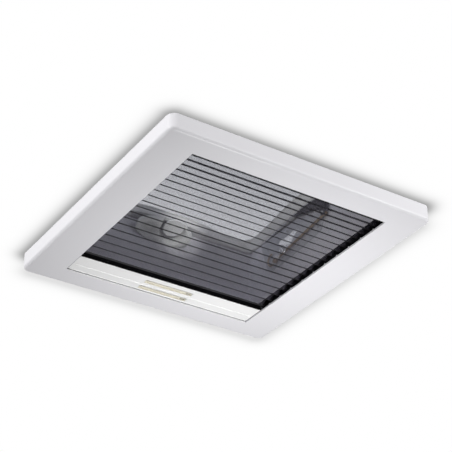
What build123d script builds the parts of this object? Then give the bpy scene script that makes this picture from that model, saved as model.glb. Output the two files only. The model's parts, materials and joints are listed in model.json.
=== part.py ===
from build123d import *
import os
from math import cos, radians, sin, sqrt

# A rooflight for a caravan: a ceiling frame with a pleated fly screen and a blackout blind, a well
# through the roof, and a hinged double dome held open by two side stays and shut by a rotary latch.
# Millimetres. The room-side face of the ceiling frame is z = 0 and +Z points out through the roof.
# +X runs along the pull bars. The hinges are on the -Y side and the latch is on the +Y side.

os.makedirs("parts", exist_ok=True)

# ---------------------------------------------------------------- driving dimensions
FRAME_BORDER = 61.5         # ceiling frame beyond the opening, each side
FRAME_DEPTH = 28.0          # face to ceiling
FRAME_CORNER_R = 13.0
FRAME_EDGE_R = 5.5
FACE_T = 3.0
SKIRT_T = 3.0
OPENING_HALF = 180.0        # blind opening, half its width along X, and the clear well above it
OPENING_HINGE_OVER = 20.0   # opening beyond the well on the hinge side
OPENING_LATCH_OVER = 17.0   # opening beyond the well on the latch side
RIB_T = 2.0
RIB_PITCH = 40.0
RIB_COUNT = 9

ROOF_T = 42.0               # thickness of the roof between ceiling and outer skin
CUTOUT_GAP = 4.0            # play between the spigot and the hole in the roof, each side
WELL_CAVITY = 10.0          # between the well wall and the spigot wall
WELL_CORNER_R = 6.0
WALL_T = 3.0
SPIGOT_CORNER_R = 14.0
SPIGOT_DROP = 20.0          # spigot below the roof skin
FLANGE_W = 50.0             # flange beyond the hole in the roof
FLANGE_CORNER_R = 32.0
FLANGE_T = 3.0
GASKET_T = 2.0
GASKET_IN = 6.0             # gasket inside the flange's edge
UPSTAND_H = 46.0            # seal ledge above the flange
WELL_LIP_H = 10.0           # well wall above the seal ledge
SEAM_Z = 58.0               # joint between liner and roof frame
SEAM_GAP = 0.3
LINER_T = 2.5
LINER_FLANGE_T = 1.5
LINER_FLANGE_W = 28.0

GUIDE_T = 1.5               # side guides, channels open towards the blinds
GUIDE_LIP = 1.0             # guide edge behind the edge of the opening
GUIDE_DEPTH = 9.0
GUIDE_H = 23.0
CLIP_COUNT = 10
CLIP_PITCH = 32.5
CLIP_MARGIN = 31.0          # first clip from the edge of the opening
CLIP_W = 2.4
CLIP_H = 1.9
CLIP_T = 0.9
CASSETTE_OVER = 6.0         # cassette beyond the side guides
CASSETTE_END_GAP = 2.0      # cassette inside the frame's skirt
CASSETTE_T = 1.5

BAR_FACE_Z = 1.5            # bars stand back from the face by this
BAR_H = 11.5
BAR_EDGE_R = 0.8
BAR_END_GAP = 0.3
BAR_GAP = 0.4               # between the two latched bars
BAR_PARK_GAP = 1.5          # latched bars inside the edge of the opening
FLY_BAR_W = 29.3
BLACKOUT_BAR_W = 17.3
SHOE_T = 1.7
SHOE_REACH = 7.4
SHOE_TONGUE_Z = 5.2
SHOE_TONGUE_H = 5.0
CORE_WALL = 2.2
GRIP_HALF = 47.0
GRIP_W = 10.0
GRIP_DEPTH = 7.5
FLY_GRIP_IN = 12.2          # grip centre from the edge that meets the other bar
BLACKOUT_GRIP_IN = 8.3
CLAMP_STRIP_W = 2.0
CLAMP_STRIP_H = 8.5         # strip above the room-side face of its bar
BLACKOUT_STRIP_W = 1.4

NET_OVER = 5.0              # net and blackout cloth behind each edge of the opening
PLEAT_PANEL = 13.4          # width of one pleat panel
PLEAT_MID_Z = 14.8
PLEAT_START = 5.0           # open part of the net starts this far inside the cassette
PLEAT_PITCH = 19.0          # mean distance between folds in the open part of the net
PLEAT_SPREAD = 0.25         # how much wider the pleats stand at the bar than at the cassette
HIDDEN_PLEATS = 3           # folds of the net inside the cassette
NET_T = 0.4                 # cloth thickness measured upright
STACK_PLEATS = 9
STACK_PANEL = 9.0
ANCHOR_W = 1.6
SOFT_GAP = 0.3

RIM_GAP = 2.0               # closed dome above the well wall
RIM_T = 6.0
RIM_SLOPE_TOP = 12.0        # underside of the pane seat above the rim's underside
RIM_BOTTOM_IN = 2.0         # slope starts this far inside the well wall
RIM_IN_X = 12.0             # pane opening inside the well wall, at the sides
RIM_IN_Y = 19.0             # and at the hinge and latch ends
RIM_SEAT_T = 2.0
RIM_SEAT_W = 10.0
PANE_R = 25.0
PANE_T = 2.5
PANE_EDGE = 8.0
ARCH_HALF = 80.0
ARCH_RISE = 8.0
LATCH_PAD_HALF = 60.0
LATCH_PAD_REACH = 10.0
DOME_OVERHANG = 18.0        # dome skirt outside the spigot wall
DOME_CORNER_R = 46.0
DOME_T = 3.0
DOME_SKIRT_DROP = 24.0      # skirt below the rim's underside
DOME_SHOULDER_H = 9.0       # shoulder, crown and top above the rim's underside
DOME_CROWN_H = 34.0
DOME_TOP_H = 44.0
DOME_CROWN_IN = 24.0        # crown and top inside the skirt
DOME_TOP_IN = 94.0
DOME_BLEND_R = 9.0
SEAL_W = 7.5
SEAL_GAP = 0.3

HINGE_OUT = 7.0             # hinge axis outside the spigot wall
HINGE_DROP = 20.0           # hinge axis below the rim's underside
HINGE_X = 120.0
HINGE_KNUCKLE_R = 5.0
HINGE_KNUCKLE_W = 24.0
HINGE_EAR_T = 5.5
HINGE_SIDE_GAP = 0.5
HINGE_PIN_R = 2.5
RUNNING_GAP = 0.05          # radial play of pins in bores
HINGE_FOOT_T = 3.0
HINGE_NOTCH_TOP = 12.0      # notch in the dome skirt above the hinge axis
HINGE_NOTCH_SIDE = 4.0

STAY_ARM = 150.0            # hinge axis to stay pivot, and stay pivot to slot pin
STAY_SLOPE = 7.3            # slot line below the horizontal, degrees
STAY_OPEN = 50.0            # dome opening, degrees
STAY_ROD_R = 2.2
STAY_EYE_T = 5.0
STAY_EYE_R = 4.2
STAY_PIN_R = 2.5
STAY_SLOT_PLAY = 0.3
STAY_PIVOT_R = 2.0
STAY_RAIL_T = 2.0
STAY_ROD_GAP = 0.8
STAY_BRACKET_T = 2.5
STAY_BRACKET_GAP = 0.4
STAY_FOOT_T = 2.0
RAIL_OPEN_END = (           # slotted plate, (y, z) corners from the open end of its slot
    (-18.0, 19.5), (-34.0, 7.5), (-26.0, -16.5), (32.0, -23.5),
)
RAIL_SHUT_END = (           # and from the shut end
    (9.5, -13.0), (27.5, -7.0), (44.5, 47.0), (33.5, 53.0), (-64.5, 53.0),
)
RAIL_CORNER_R = 4.0
RAIL_OPEN_SCREW = (-18.0, -8.5)
RAIL_SHUT_SCREWS = ((23.5, 35.0), (-36.5, 42.0))
BRACKET_FOOT = (            # stay bracket, (y, z) corners from the stay pivot
    (-8.0, 2.0), (4.0, -4.0), (14.0, 18.0), (84.0, 36.0),
)
BRACKET_HEAD_YS = (88.0, -8.0)

LATCH_IN = 29.0             # latch axis inside the well wall
LATCH_DROP = 19.5           # and below the rim's underside
LATCH_TILT = 18.0
KNOB_R = 18.8
KNOB_T = 3.5
COLLAR_W = 4.5
COLLAR_T = 2.5
TRAY_CENTRE = (-11.0, 7.0)  # (x, towards the strike) from the knob
TRAY_HALF_X = 54.0
TRAY_HALF_Y = 21.0
TRAY_T = 7.0
TRAY_BACK = 4.0             # pocket floor behind the knob face
TRAY_CHIN = 9.0             # tray face in front of the knob face at its strike side
TRAY_EDGE_R = 2.0
POCKET_R = 27.0             # mouth of the pocket round the knob
DISH_HALF_X = 17.0
DISH_HALF_Y = 12.0
DISH_CENTRE = (-42.0, 9.0)
DISH_DEPTH = 3.5
SPINDLE_R = 4.0
PILLAR_R = 5.0
PILLAR_XS = (-40.0, 28.0)
PILLAR_FORWARD = 6.0
TONGUE_T = 3.0
TONGUE_GAP = 2.0
TONGUE_L = 22.5
TONGUE_W = 9.0
STRIKE_HALF = 16.0
STRIKE_T = 1.5
STRIKE_H = 25.0             # plate below its ledge
STRIKE_LEDGE_H = 11.5       # ledge above the knob
STRIKE_LEDGE_T = 2.5
STRIKE_LEDGE_W = 7.0
STRIKE_SCREW_X = 11.0
STRIKE_SCREW_H = 7.0        # screws above the plate's lower edge

BRACKET_YS = (-120.0, 0.0, 120.0)
BRACKET_W = 20.0
BRACKET_T = 3.0
BRACKET_SHELF_Z = 34.0
BRACKET_END_GAP = 5.0       # bracket foot inside the frame's skirt
STUD_IN = 17.0              # stud from the end of the bracket foot
STUD_R = 2.0
STUD_L = 16.0
POST_R = 5.0
CLAMP_SCREW_R = 2.0
CLAMP_SCREW_L = 28.0
CLAMP_HEAD_R = 3.5
BOSS_R = 4.0
BOSS_DROP = 4.0
SMALL_SCREW_R = 1.3
SMALL_HEAD_R = 3.0
SMALL_HEAD_H = 1.4
SMALL_SCREW_L = 5.0
DOME_SCREW_L = 12.0
DOME_SCREW_X = 60.0
HEX_SHARE = 0.5             # hexagon socket across the screw head

# ---------------------------------------------------------------- places worked out from them
CEILING_Z = FRAME_DEPTH
ROOF_Z = CEILING_Z + ROOF_T
FLANGE_Z = ROOF_Z + GASKET_T
LEDGE_Z = FLANGE_Z + FLANGE_T + UPSTAND_H
WELL_TOP_Z = LEDGE_Z + WELL_LIP_H
WELL_HALF = OPENING_HALF
SPIGOT_HALF = WELL_HALF + WALL_T + WELL_CAVITY + WALL_T
CUTOUT_HALF = SPIGOT_HALF + CUTOUT_GAP
FLANGE_HALF = CUTOUT_HALF + FLANGE_W
FRAME_SIDE = 2 * (OPENING_HALF + FRAME_BORDER)
SKIRT_INNER = FRAME_SIDE / 2 - SKIRT_T
SPIGOT_Z = ROOF_Z - SPIGOT_DROP
CAVITY_MID = (WELL_HALF + WALL_T + SPIGOT_HALF - WALL_T) / 2
GUIDE_X = OPENING_HALF + GUIDE_LIP
GUIDE_TOP_Z = FACE_T + GUIDE_H
OPENING_HINGE_Y = -(WELL_HALF + OPENING_HINGE_OVER)
OPENING_LATCH_Y = WELL_HALF + OPENING_LATCH_OVER
OPENING_MID_Y = (OPENING_HINGE_Y + OPENING_LATCH_Y) / 2
OPENING_L = OPENING_LATCH_Y - OPENING_HINGE_Y
CASSETTE_HINGE_Y = OPENING_HINGE_Y - GUIDE_LIP
CASSETTE_LATCH_Y = OPENING_LATCH_Y + GUIDE_LIP
CASSETTE_HALF = GUIDE_X + GUIDE_DEPTH + CASSETTE_OVER
CASSETTE_DEPTH = SKIRT_INNER - CASSETTE_END_GAP + CASSETTE_HINGE_Y
NET_HALF = OPENING_HALF + NET_OVER
FLY_BAR_Y = OPENING_LATCH_Y - BAR_PARK_GAP - BLACKOUT_BAR_W - BAR_GAP - FLY_BAR_W
BLACKOUT_BAR_Y = FLY_BAR_Y + FLY_BAR_W + BAR_GAP
BAR_HALF = OPENING_HALF - BAR_END_GAP - SHOE_T
RIM_Z = WELL_TOP_Z + RIM_GAP
SEAT_Z = RIM_Z + RIM_SLOPE_TOP
PANE_Z = SEAT_Z + RIM_SEAT_T
DOME_HALF = SPIGOT_HALF + DOME_OVERHANG
DOME_SKIRT_Z = RIM_Z - DOME_SKIRT_DROP
DOME_SHOULDER_Z = RIM_Z + DOME_SHOULDER_H
DOME_CROWN_Z = RIM_Z + DOME_CROWN_H
DOME_TOP_Z = RIM_Z + DOME_TOP_H
RIM_HALF = DOME_HALF - DOME_T - SOFT_GAP
RIM_INNER_X = WELL_HALF - RIM_IN_X
RIM_INNER_Y = WELL_HALF - RIM_IN_Y
RIM_BOTTOM_HALF = WELL_HALF - RIM_BOTTOM_IN
HINGE_Y = -(SPIGOT_HALF + HINGE_OUT)
HINGE_Z = RIM_Z - HINGE_DROP
SLOPE = radians(STAY_SLOPE)
STAY_ROD_X = WELL_HALF - STAY_RAIL_T - STAY_ROD_GAP - STAY_EYE_T / 2
BRACKET_X = STAY_ROD_X - STAY_EYE_T / 2 - STAY_BRACKET_GAP
LATCH_Y = WELL_HALF - LATCH_IN
LATCH_Z = RIM_Z - LATCH_DROP
STRIKE_LEDGE_Y = WELL_HALF - STRIKE_LEDGE_W
STRIKE_LEDGE_Z = LATCH_Z + STRIKE_LEDGE_H
STRIKE_BOTTOM_Z = STRIKE_LEDGE_Z - STRIKE_H
STRIKE_SCREW_Z = STRIKE_BOTTOM_Z + STRIKE_SCREW_H
BRACKET_FOOT_X = SKIRT_INNER - BRACKET_END_GAP
STUD_X = BRACKET_FOOT_X - STUD_IN
LATCH_PLANE = Plane(
    origin=(0, LATCH_Y, LATCH_Z),
    x_dir=(1, 0, 0),
    z_dir=(0, -sin(radians(LATCH_TILT)), -cos(radians(LATCH_TILT))),
)
SIDES = (("left", -1), ("right", 1))


def on_slot_line(distance):
    """Point (y, z) on the line through the hinge axis that the slot pins run along."""
    return (HINGE_Y + distance * cos(SLOPE), HINGE_Z - distance * sin(SLOPE))


def moved(point, offsets):
    """Points (y, z) that lie at the given offsets from a point."""
    return [(point[0] + dy, point[1] + dz) for dy, dz in offsets]


PIVOT = on_slot_line(STAY_ARM)
SLOT_SHUT = on_slot_line(2 * STAY_ARM)
SLOT_OPEN = on_slot_line(2 * STAY_ARM * cos(radians(STAY_OPEN)))
RAIL_SCREWS = moved(SLOT_OPEN, [RAIL_OPEN_SCREW]) + moved(SLOT_SHUT, RAIL_SHUT_SCREWS)


def screw(plane, head_r, head_h, shank_r, shank_l):
    """Pan-head screw: its head stands on the plane and its shank runs the other way."""
    with BuildSketch(plane) as head:
        Circle(head_r)
    extrude(head.sketch, amount=head_h)
    with BuildSketch(plane.offset(head_h)) as socket:
        RegularPolygon(head_r * HEX_SHARE, 6)
    extrude(socket.sketch, amount=-head_h / 2, mode=Mode.SUBTRACT)
    with BuildSketch(plane) as shank:
        Circle(shank_r)
    extrude(shank.sketch, amount=-shank_l)


def square_ring(z, height, outer_half, outer_r, inner_half, inner_r):
    """Upright square tube between two rounded squares."""
    with BuildSketch(Plane.XY.offset(z)) as ring:
        RectangleRounded(2 * outer_half, 2 * outer_half, outer_r)
        RectangleRounded(2 * inner_half, 2 * inner_half, inner_r, mode=Mode.SUBTRACT)
    extrude(ring.sketch, amount=height)


def zigzag(fold_ys, panel, mid_z):
    """Pleated cloth outline: (y, z) folds whose panels all have the same width."""
    heights = [mid_z]
    for near, far in zip(fold_ys, fold_ys[1:]):
        rise = sqrt(panel ** 2 - (far - near) ** 2) / 2
        side = -1 if len(heights) % 2 else 1
        heights.append(mid_z + side * rise)
    return list(zip(fold_ys, heights))


def pleated_cloth(folds, half_width, thickness):
    """Thin sheet that follows the folds, as wide as the blind."""
    lower = [(y, z - thickness / 2) for y, z in folds]
    upper = [(y, z + thickness / 2) for y, z in reversed(folds)]
    with BuildSketch(Plane.YZ) as outline:
        with BuildLine():
            Polyline(*lower, *upper, close=True)
        make_face()
    extrude(outline.sketch, amount=half_width, both=True)


# ---------------------------------------------------------------- ceiling frame
stud_spots = [(side * STUD_X, y) for _, side in SIDES for y in BRACKET_YS]
rib_ys = [(i - (RIB_COUNT - 1) / 2) * RIB_PITCH for i in range(RIB_COUNT)]
bracket_foot_z = CEILING_Z - BRACKET_T

with BuildPart() as ceiling_frame:
    with BuildSketch():
        RectangleRounded(FRAME_SIDE, FRAME_SIDE, FRAME_CORNER_R)
    extrude(amount=FRAME_DEPTH)
    fillet(ceiling_frame.faces().sort_by(Axis.Z)[0].edges(), radius=FRAME_EDGE_R)
    with BuildSketch(Plane.XY.offset(FACE_T)):
        RectangleRounded(2 * SKIRT_INNER, 2 * SKIRT_INNER, FRAME_CORNER_R - SKIRT_T)
    extrude(amount=FRAME_DEPTH - FACE_T, mode=Mode.SUBTRACT)
    with BuildSketch():
        with Locations((0, OPENING_MID_Y)):
            Rectangle(2 * OPENING_HALF, OPENING_L)
    extrude(amount=FACE_T, mode=Mode.SUBTRACT)
    rib_start = GUIDE_X + GUIDE_DEPTH + BRACKET_T
    with BuildSketch(Plane.XY.offset(FACE_T)):
        for _, side in SIDES:
            with Locations(*[(side * (rib_start + SKIRT_INNER) / 2, y) for y in rib_ys]):
                Rectangle(SKIRT_INNER - rib_start, RIB_T)
        with Locations(*stud_spots):
            Circle(POST_R)
    extrude(amount=bracket_foot_z - FACE_T)
    with BuildSketch(Plane.XY.offset(bracket_foot_z)):
        with Locations(*stud_spots):
            Circle(STUD_R + RUNNING_GAP)
    extrude(amount=-(STUD_L - BRACKET_T + RUNNING_GAP), mode=Mode.SUBTRACT)
ceiling_frame.part.label = "ceiling_frame"
export_step(ceiling_frame.part, "parts/ceiling_frame.step")

# ---------------------------------------------------------------- blind guides and cassettes
guide_l = CASSETTE_LATCH_Y - CASSETTE_HINGE_Y
guide_mid_y = (CASSETTE_LATCH_Y + CASSETTE_HINGE_Y) / 2
clip_ys = [OPENING_HINGE_Y + CLIP_MARGIN + i * CLIP_PITCH for i in range(CLIP_COUNT)]

for side_name, side in SIDES:
    with BuildPart() as side_guide:
        with BuildSketch(Plane.XY.offset(FACE_T)):
            with Locations((side * (GUIDE_X + GUIDE_DEPTH / 2), guide_mid_y)):
                Rectangle(GUIDE_DEPTH, guide_l)
        extrude(amount=GUIDE_H)
        channel_mid = GUIDE_X + (GUIDE_DEPTH - GUIDE_T) / 2
        with BuildSketch(Plane.XY.offset(FACE_T + GUIDE_T)):
            with Locations((side * channel_mid, guide_mid_y)):
                Rectangle(GUIDE_DEPTH - GUIDE_T, guide_l)
        extrude(amount=GUIDE_H - 2 * GUIDE_T, mode=Mode.SUBTRACT)
    side_guide.part.label = f"side_guide_{side_name}"
    export_step(side_guide.part, f"parts/side_guide_{side_name}.step")

with BuildPart() as guide_clips:
    for _, side in SIDES:
        with BuildSketch(Plane.XY.offset(FACE_T)):
            with Locations(*[(side * (GUIDE_X - CLIP_T / 2), y) for y in clip_ys]):
                Rectangle(CLIP_T, CLIP_W)
        extrude(amount=CLIP_H)
guide_clips.part.label = "guide_clips"
export_step(guide_clips.part, "parts/guide_clips.step")

cassette_ends = (("screen", CASSETTE_HINGE_Y, -1), ("blackout", CASSETTE_LATCH_Y, 1))
for blind_name, mouth_y, outward in cassette_ends:
    with BuildPart() as cassette:
        with BuildSketch(Plane.XY.offset(FACE_T)):
            with Locations((0, mouth_y + outward * CASSETTE_DEPTH / 2)):
                Rectangle(2 * CASSETTE_HALF, CASSETTE_DEPTH)
        extrude(amount=GUIDE_H)
        with BuildSketch(Plane.XY.offset(FACE_T + CASSETTE_T)):
            with Locations((0, mouth_y + outward * (CASSETTE_DEPTH - CASSETTE_T) / 2)):
                Rectangle(2 * (CASSETTE_HALF - CASSETTE_T), CASSETTE_DEPTH - CASSETTE_T)
        extrude(amount=GUIDE_H - 2 * CASSETTE_T, mode=Mode.SUBTRACT)
    cassette.part.label = f"{blind_name}_cassette"
    export_step(cassette.part, f"parts/{blind_name}_cassette.step")

    with BuildPart() as anchor:
        back_y = mouth_y + outward * (CASSETTE_DEPTH - CASSETTE_T)
        with BuildSketch(Plane.XY.offset(FACE_T + CASSETTE_T)):
            with Locations((0, back_y - outward * ANCHOR_W / 2)):
                Rectangle(2 * NET_HALF, ANCHOR_W)
        extrude(amount=GUIDE_H - 2 * CASSETTE_T)
    anchor.part.label = f"{blind_name}_anchor_strip"
    export_step(anchor.part, f"parts/{blind_name}_anchor_strip.step")

# ---------------------------------------------------------------- pleated net and blackout cloth
net_start = CASSETTE_HINGE_Y - CASSETTE_DEPTH + CASSETTE_T + ANCHOR_W
net_end = FLY_BAR_Y - CLAMP_STRIP_W
open_start = OPENING_HINGE_Y - PLEAT_START
open_l = net_end - open_start
half_folds = 2 * round(open_l / PLEAT_PITCH) + 1
fold_shares = [i / half_folds for i in range(half_folds + 1)]
open_ys = [
    open_start + open_l * ((1 - PLEAT_SPREAD) * share + PLEAT_SPREAD * share ** 2)
    for share in fold_shares
]
hidden_folds = 2 * HIDDEN_PLEATS
hidden_ys = [
    net_start + (open_start - net_start) * i / hidden_folds for i in range(hidden_folds)
]

with BuildPart() as fly_net:
    pleated_cloth(zigzag(hidden_ys + open_ys, PLEAT_PANEL, PLEAT_MID_Z), NET_HALF, NET_T)
fly_net.part.label = "fly_net"
export_step(fly_net.part, "parts/fly_net.step")

stack_start = BLACKOUT_BAR_Y + BLACKOUT_BAR_W + BLACKOUT_STRIP_W
stack_end = CASSETTE_LATCH_Y + CASSETTE_DEPTH - CASSETTE_T - ANCHOR_W
stack_folds = 2 * STACK_PLEATS
stack_ys = [
    stack_start + (stack_end - stack_start) * i / stack_folds for i in range(stack_folds + 1)
]
with BuildPart() as blackout_cloth:
    pleated_cloth(zigzag(stack_ys, STACK_PANEL, PLEAT_MID_Z - 2 * NET_T), NET_HALF, NET_T)
blackout_cloth.part.label = "blackout_cloth"
export_step(blackout_cloth.part, "parts/blackout_cloth.step")


# ---------------------------------------------------------------- pull bars
def pull_bar(bar, near_y, width, grip_y):
    """Hollow bar with a sloped finger grip in its room-side face."""
    with BuildSketch(Plane.YZ) as section:
        with Locations((near_y + width / 2, BAR_FACE_Z + BAR_H / 2)):
            Rectangle(width, BAR_H)
    extrude(section.sketch, amount=BAR_HALF, both=True)
    fillet(bar.faces().sort_by(Axis.Z)[0].edges().filter_by(Axis.X), radius=BAR_EDGE_R)
    core_start = GRIP_HALF + CORE_WALL
    core_l = BAR_HALF - CORE_WALL - core_start
    core_mid = core_start + core_l / 2
    with BuildSketch(Plane.XY.offset(BAR_FACE_Z + CORE_WALL)) as core:
        with Locations(*[(side * core_mid, near_y + width / 2) for _, side in SIDES]):
            Rectangle(core_l, width - 2 * CORE_WALL)
    extrude(core.sketch, amount=BAR_H, mode=Mode.SUBTRACT)
    deep = BAR_FACE_Z + GRIP_DEPTH
    half_w = GRIP_W / 2
    with BuildSketch(Plane.YZ) as grip:
        with BuildLine():
            Polyline(
                (grip_y - half_w, BAR_FACE_Z),
                (grip_y + half_w, BAR_FACE_Z),
                (grip_y + half_w - BAR_EDGE_R, deep),
                (grip_y + BAR_EDGE_R, deep),
                close=True,
            )
        make_face()
    extrude(grip.sketch, amount=GRIP_HALF, both=True, mode=Mode.SUBTRACT)


def end_shoes(near_y, width):
    """Caps on both bar ends, each with a tongue that runs in the side guide."""
    for _, side in SIDES:
        end = Plane.YZ.offset(side * BAR_HALF)
        with BuildSketch(end) as cap:
            with Locations((near_y + width / 2, BAR_FACE_Z + BAR_H / 2)):
                Rectangle(width, BAR_H)
        extrude(cap.sketch, amount=side * SHOE_T)
        with BuildSketch(end.offset(side * SHOE_T)) as tongue:
            with Locations((near_y + width / 2, SHOE_TONGUE_Z + SHOE_TONGUE_H / 2)):
                Rectangle(width - 2 * CORE_WALL, SHOE_TONGUE_H)
        extrude(tongue.sketch, amount=side * SHOE_REACH)


with BuildPart() as fly_bar:
    pull_bar(fly_bar, FLY_BAR_Y, FLY_BAR_W, FLY_BAR_Y + FLY_BAR_W - FLY_GRIP_IN)
fly_bar.part.label = "fly_bar"
export_step(fly_bar.part, "parts/fly_bar.step")

with BuildPart() as fly_bar_shoes:
    end_shoes(FLY_BAR_Y, FLY_BAR_W)
fly_bar_shoes.part.label = "fly_bar_shoes"
export_step(fly_bar_shoes.part, "parts/fly_bar_shoes.step")

with BuildPart() as net_clamp_strip:
    with BuildSketch(Plane.YZ):
        with Locations((FLY_BAR_Y - CLAMP_STRIP_W / 2, BAR_FACE_Z + CLAMP_STRIP_H / 2)):
            Rectangle(CLAMP_STRIP_W, CLAMP_STRIP_H)
    extrude(amount=BAR_HALF, both=True)
net_clamp_strip.part.label = "net_clamp_strip"
export_step(net_clamp_strip.part, "parts/net_clamp_strip.step")

with BuildPart() as blackout_bar:
    pull_bar(
        blackout_bar, BLACKOUT_BAR_Y, BLACKOUT_BAR_W, BLACKOUT_BAR_Y + BLACKOUT_GRIP_IN
    )
blackout_bar.part.label = "blackout_bar"
export_step(blackout_bar.part, "parts/blackout_bar.step")

with BuildPart() as blackout_bar_shoes:
    end_shoes(BLACKOUT_BAR_Y, BLACKOUT_BAR_W)
blackout_bar_shoes.part.label = "blackout_bar_shoes"
export_step(blackout_bar_shoes.part, "parts/blackout_bar_shoes.step")

with BuildPart() as blackout_clamp_strip:
    strip_y = BLACKOUT_BAR_Y + BLACKOUT_BAR_W + BLACKOUT_STRIP_W / 2
    with BuildSketch(Plane.YZ):
        with Locations((strip_y, BAR_FACE_Z + CLAMP_STRIP_H / 2)):
            Rectangle(BLACKOUT_STRIP_W, CLAMP_STRIP_H)
    extrude(amount=BAR_HALF, both=True)
blackout_clamp_strip.part.label = "blackout_clamp_strip"
export_step(blackout_clamp_strip.part, "parts/blackout_clamp_strip.step")

# ---------------------------------------------------------------- well liner and roof frame
boss_spots = [(side * CAVITY_MID, y) for _, side in SIDES for y in BRACKET_YS]
strike_screw_spots = [(-STRIKE_SCREW_X, STRIKE_SCREW_Z), (STRIKE_SCREW_X, STRIKE_SCREW_Z)]

with BuildPart() as well_liner:
    square_ring(
        GUIDE_TOP_Z, SEAM_Z - GUIDE_TOP_Z,
        WELL_HALF + LINER_T, WELL_CORNER_R + LINER_T, WELL_HALF, WELL_CORNER_R,
    )
    with BuildSketch(Plane.XY.offset(GUIDE_TOP_Z)):
        Rectangle(2 * CASSETTE_HALF, 2 * (WELL_HALF + LINER_FLANGE_W))
        RectangleRounded(2 * WELL_HALF, 2 * WELL_HALF, WELL_CORNER_R, mode=Mode.SUBTRACT)
    extrude(amount=LINER_FLANGE_T)
well_liner.part.label = "well_liner"
export_step(well_liner.part, "parts/well_liner.step")


def outside_the_hole(edge):
    """True for an edge that lies beyond the hole in the roof."""
    middle = edge.center()
    return max(abs(middle.X), abs(middle.Y)) > CUTOUT_HALF


with BuildPart() as roof_frame:
    square_ring(
        SPIGOT_Z, LEDGE_Z - SPIGOT_Z,
        SPIGOT_HALF, SPIGOT_CORNER_R, SPIGOT_HALF - WALL_T, SPIGOT_CORNER_R - WALL_T,
    )
    wall_z = SEAM_Z + SEAM_GAP
    square_ring(
        wall_z, WELL_TOP_Z - wall_z,
        WELL_HALF + WALL_T, WELL_CORNER_R + WALL_T, WELL_HALF, WELL_CORNER_R,
    )
    square_ring(
        LEDGE_Z - WALL_T, WALL_T,
        SPIGOT_HALF, SPIGOT_CORNER_R, WELL_HALF, WELL_CORNER_R,
    )
    square_ring(
        FLANGE_Z, FLANGE_T,
        FLANGE_HALF, FLANGE_CORNER_R, SPIGOT_HALF - WALL_T, SPIGOT_CORNER_R - WALL_T,
    )
    flange_top = FLANGE_Z + FLANGE_T
    top_edges = roof_frame.edges().filter_by_position(Axis.Z, flange_top, flange_top)
    fillet(top_edges.filter_by(outside_the_hole), radius=FLANGE_T / 3)
    with BuildSketch(Plane.XY.offset(SPIGOT_Z - BOSS_DROP)):
        with Locations(*boss_spots):
            Circle(BOSS_R)
    extrude(amount=LEDGE_Z - WALL_T - SPIGOT_Z + BOSS_DROP)
    with BuildSketch(Plane.XY.offset(SPIGOT_Z - BOSS_DROP)):
        with Locations(*boss_spots):
            Circle(CLAMP_SCREW_R + RUNNING_GAP)
    extrude(amount=CLAMP_SCREW_L, mode=Mode.SUBTRACT)
    with BuildSketch(Plane.XZ.offset(-WELL_HALF)):
        with Locations(*strike_screw_spots):
            Circle(SMALL_SCREW_R + RUNNING_GAP)
    extrude(amount=-WALL_T, mode=Mode.SUBTRACT)
    for _, side in SIDES:
        with BuildSketch(Plane.YZ.offset(side * WELL_HALF)):
            with Locations(*RAIL_SCREWS):
                Circle(SMALL_SCREW_R + RUNNING_GAP)
        extrude(amount=side * WALL_T, mode=Mode.SUBTRACT)
roof_frame.part.label = "roof_frame"
export_step(roof_frame.part, "parts/roof_frame.step")

with BuildPart() as roof_gasket:
    square_ring(
        ROOF_Z, GASKET_T,
        FLANGE_HALF - GASKET_IN, FLANGE_CORNER_R - GASKET_IN,
        CUTOUT_HALF, SPIGOT_CORNER_R,
    )
roof_gasket.part.label = "roof_gasket"
export_step(roof_gasket.part, "parts/roof_gasket.step")

with BuildPart() as dome_seal:
    seal_inner = WELL_HALF + WALL_T + SOFT_GAP
    square_ring(
        LEDGE_Z, RIM_Z - SEAL_GAP - LEDGE_Z,
        seal_inner + SEAL_W, WELL_CORNER_R + WALL_T + SEAL_W, seal_inner, WELL_CORNER_R + WALL_T,
    )
    fillet(dome_seal.faces().sort_by(Axis.Z)[-1].edges(), radius=SEAL_W / 3)
dome_seal.part.label = "dome_seal"
export_step(dome_seal.part, "parts/dome_seal.step")

# ---------------------------------------------------------------- clamping hardware
with BuildPart() as clamp_brackets:
    riser_x = CUTOUT_HALF - SOFT_GAP
    shelf_x = CAVITY_MID - BOSS_R
    for _, side in SIDES:
        for y in BRACKET_YS:
            with BuildSketch(Plane.XZ.offset(-y)):
                with BuildLine():
                    Polyline(
                        (side * shelf_x, BRACKET_SHELF_Z),
                        (side * (riser_x - BRACKET_T), BRACKET_SHELF_Z),
                        (side * (riser_x - BRACKET_T), bracket_foot_z),
                        (side * BRACKET_FOOT_X, bracket_foot_z),
                        (side * BRACKET_FOOT_X, CEILING_Z),
                        (side * riser_x, CEILING_Z),
                        (side * riser_x, BRACKET_SHELF_Z + BRACKET_T),
                        (side * shelf_x, BRACKET_SHELF_Z + BRACKET_T),
                        close=True,
                    )
                make_face()
            extrude(amount=BRACKET_W / 2, both=True)
    with BuildSketch(Plane.XY.offset(bracket_foot_z)):
        with Locations(*stud_spots):
            Circle(STUD_R + RUNNING_GAP)
        with Locations(*boss_spots):
            Circle(CLAMP_SCREW_R + RUNNING_GAP)
    extrude(amount=BRACKET_SHELF_Z, mode=Mode.SUBTRACT)
clamp_brackets.part.label = "clamp_brackets"
export_step(clamp_brackets.part, "parts/clamp_brackets.step")

with BuildPart() as clamp_screws:
    for x, y in boss_spots:
        seat = Plane(origin=(x, y, BRACKET_SHELF_Z), z_dir=(0, 0, -1))
        screw(seat, CLAMP_HEAD_R, CLAMP_HEAD_R - RUNNING_GAP, CLAMP_SCREW_R, CLAMP_SCREW_L)
clamp_screws.part.label = "clamp_screws"
export_step(clamp_screws.part, "parts/clamp_screws.step")

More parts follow.
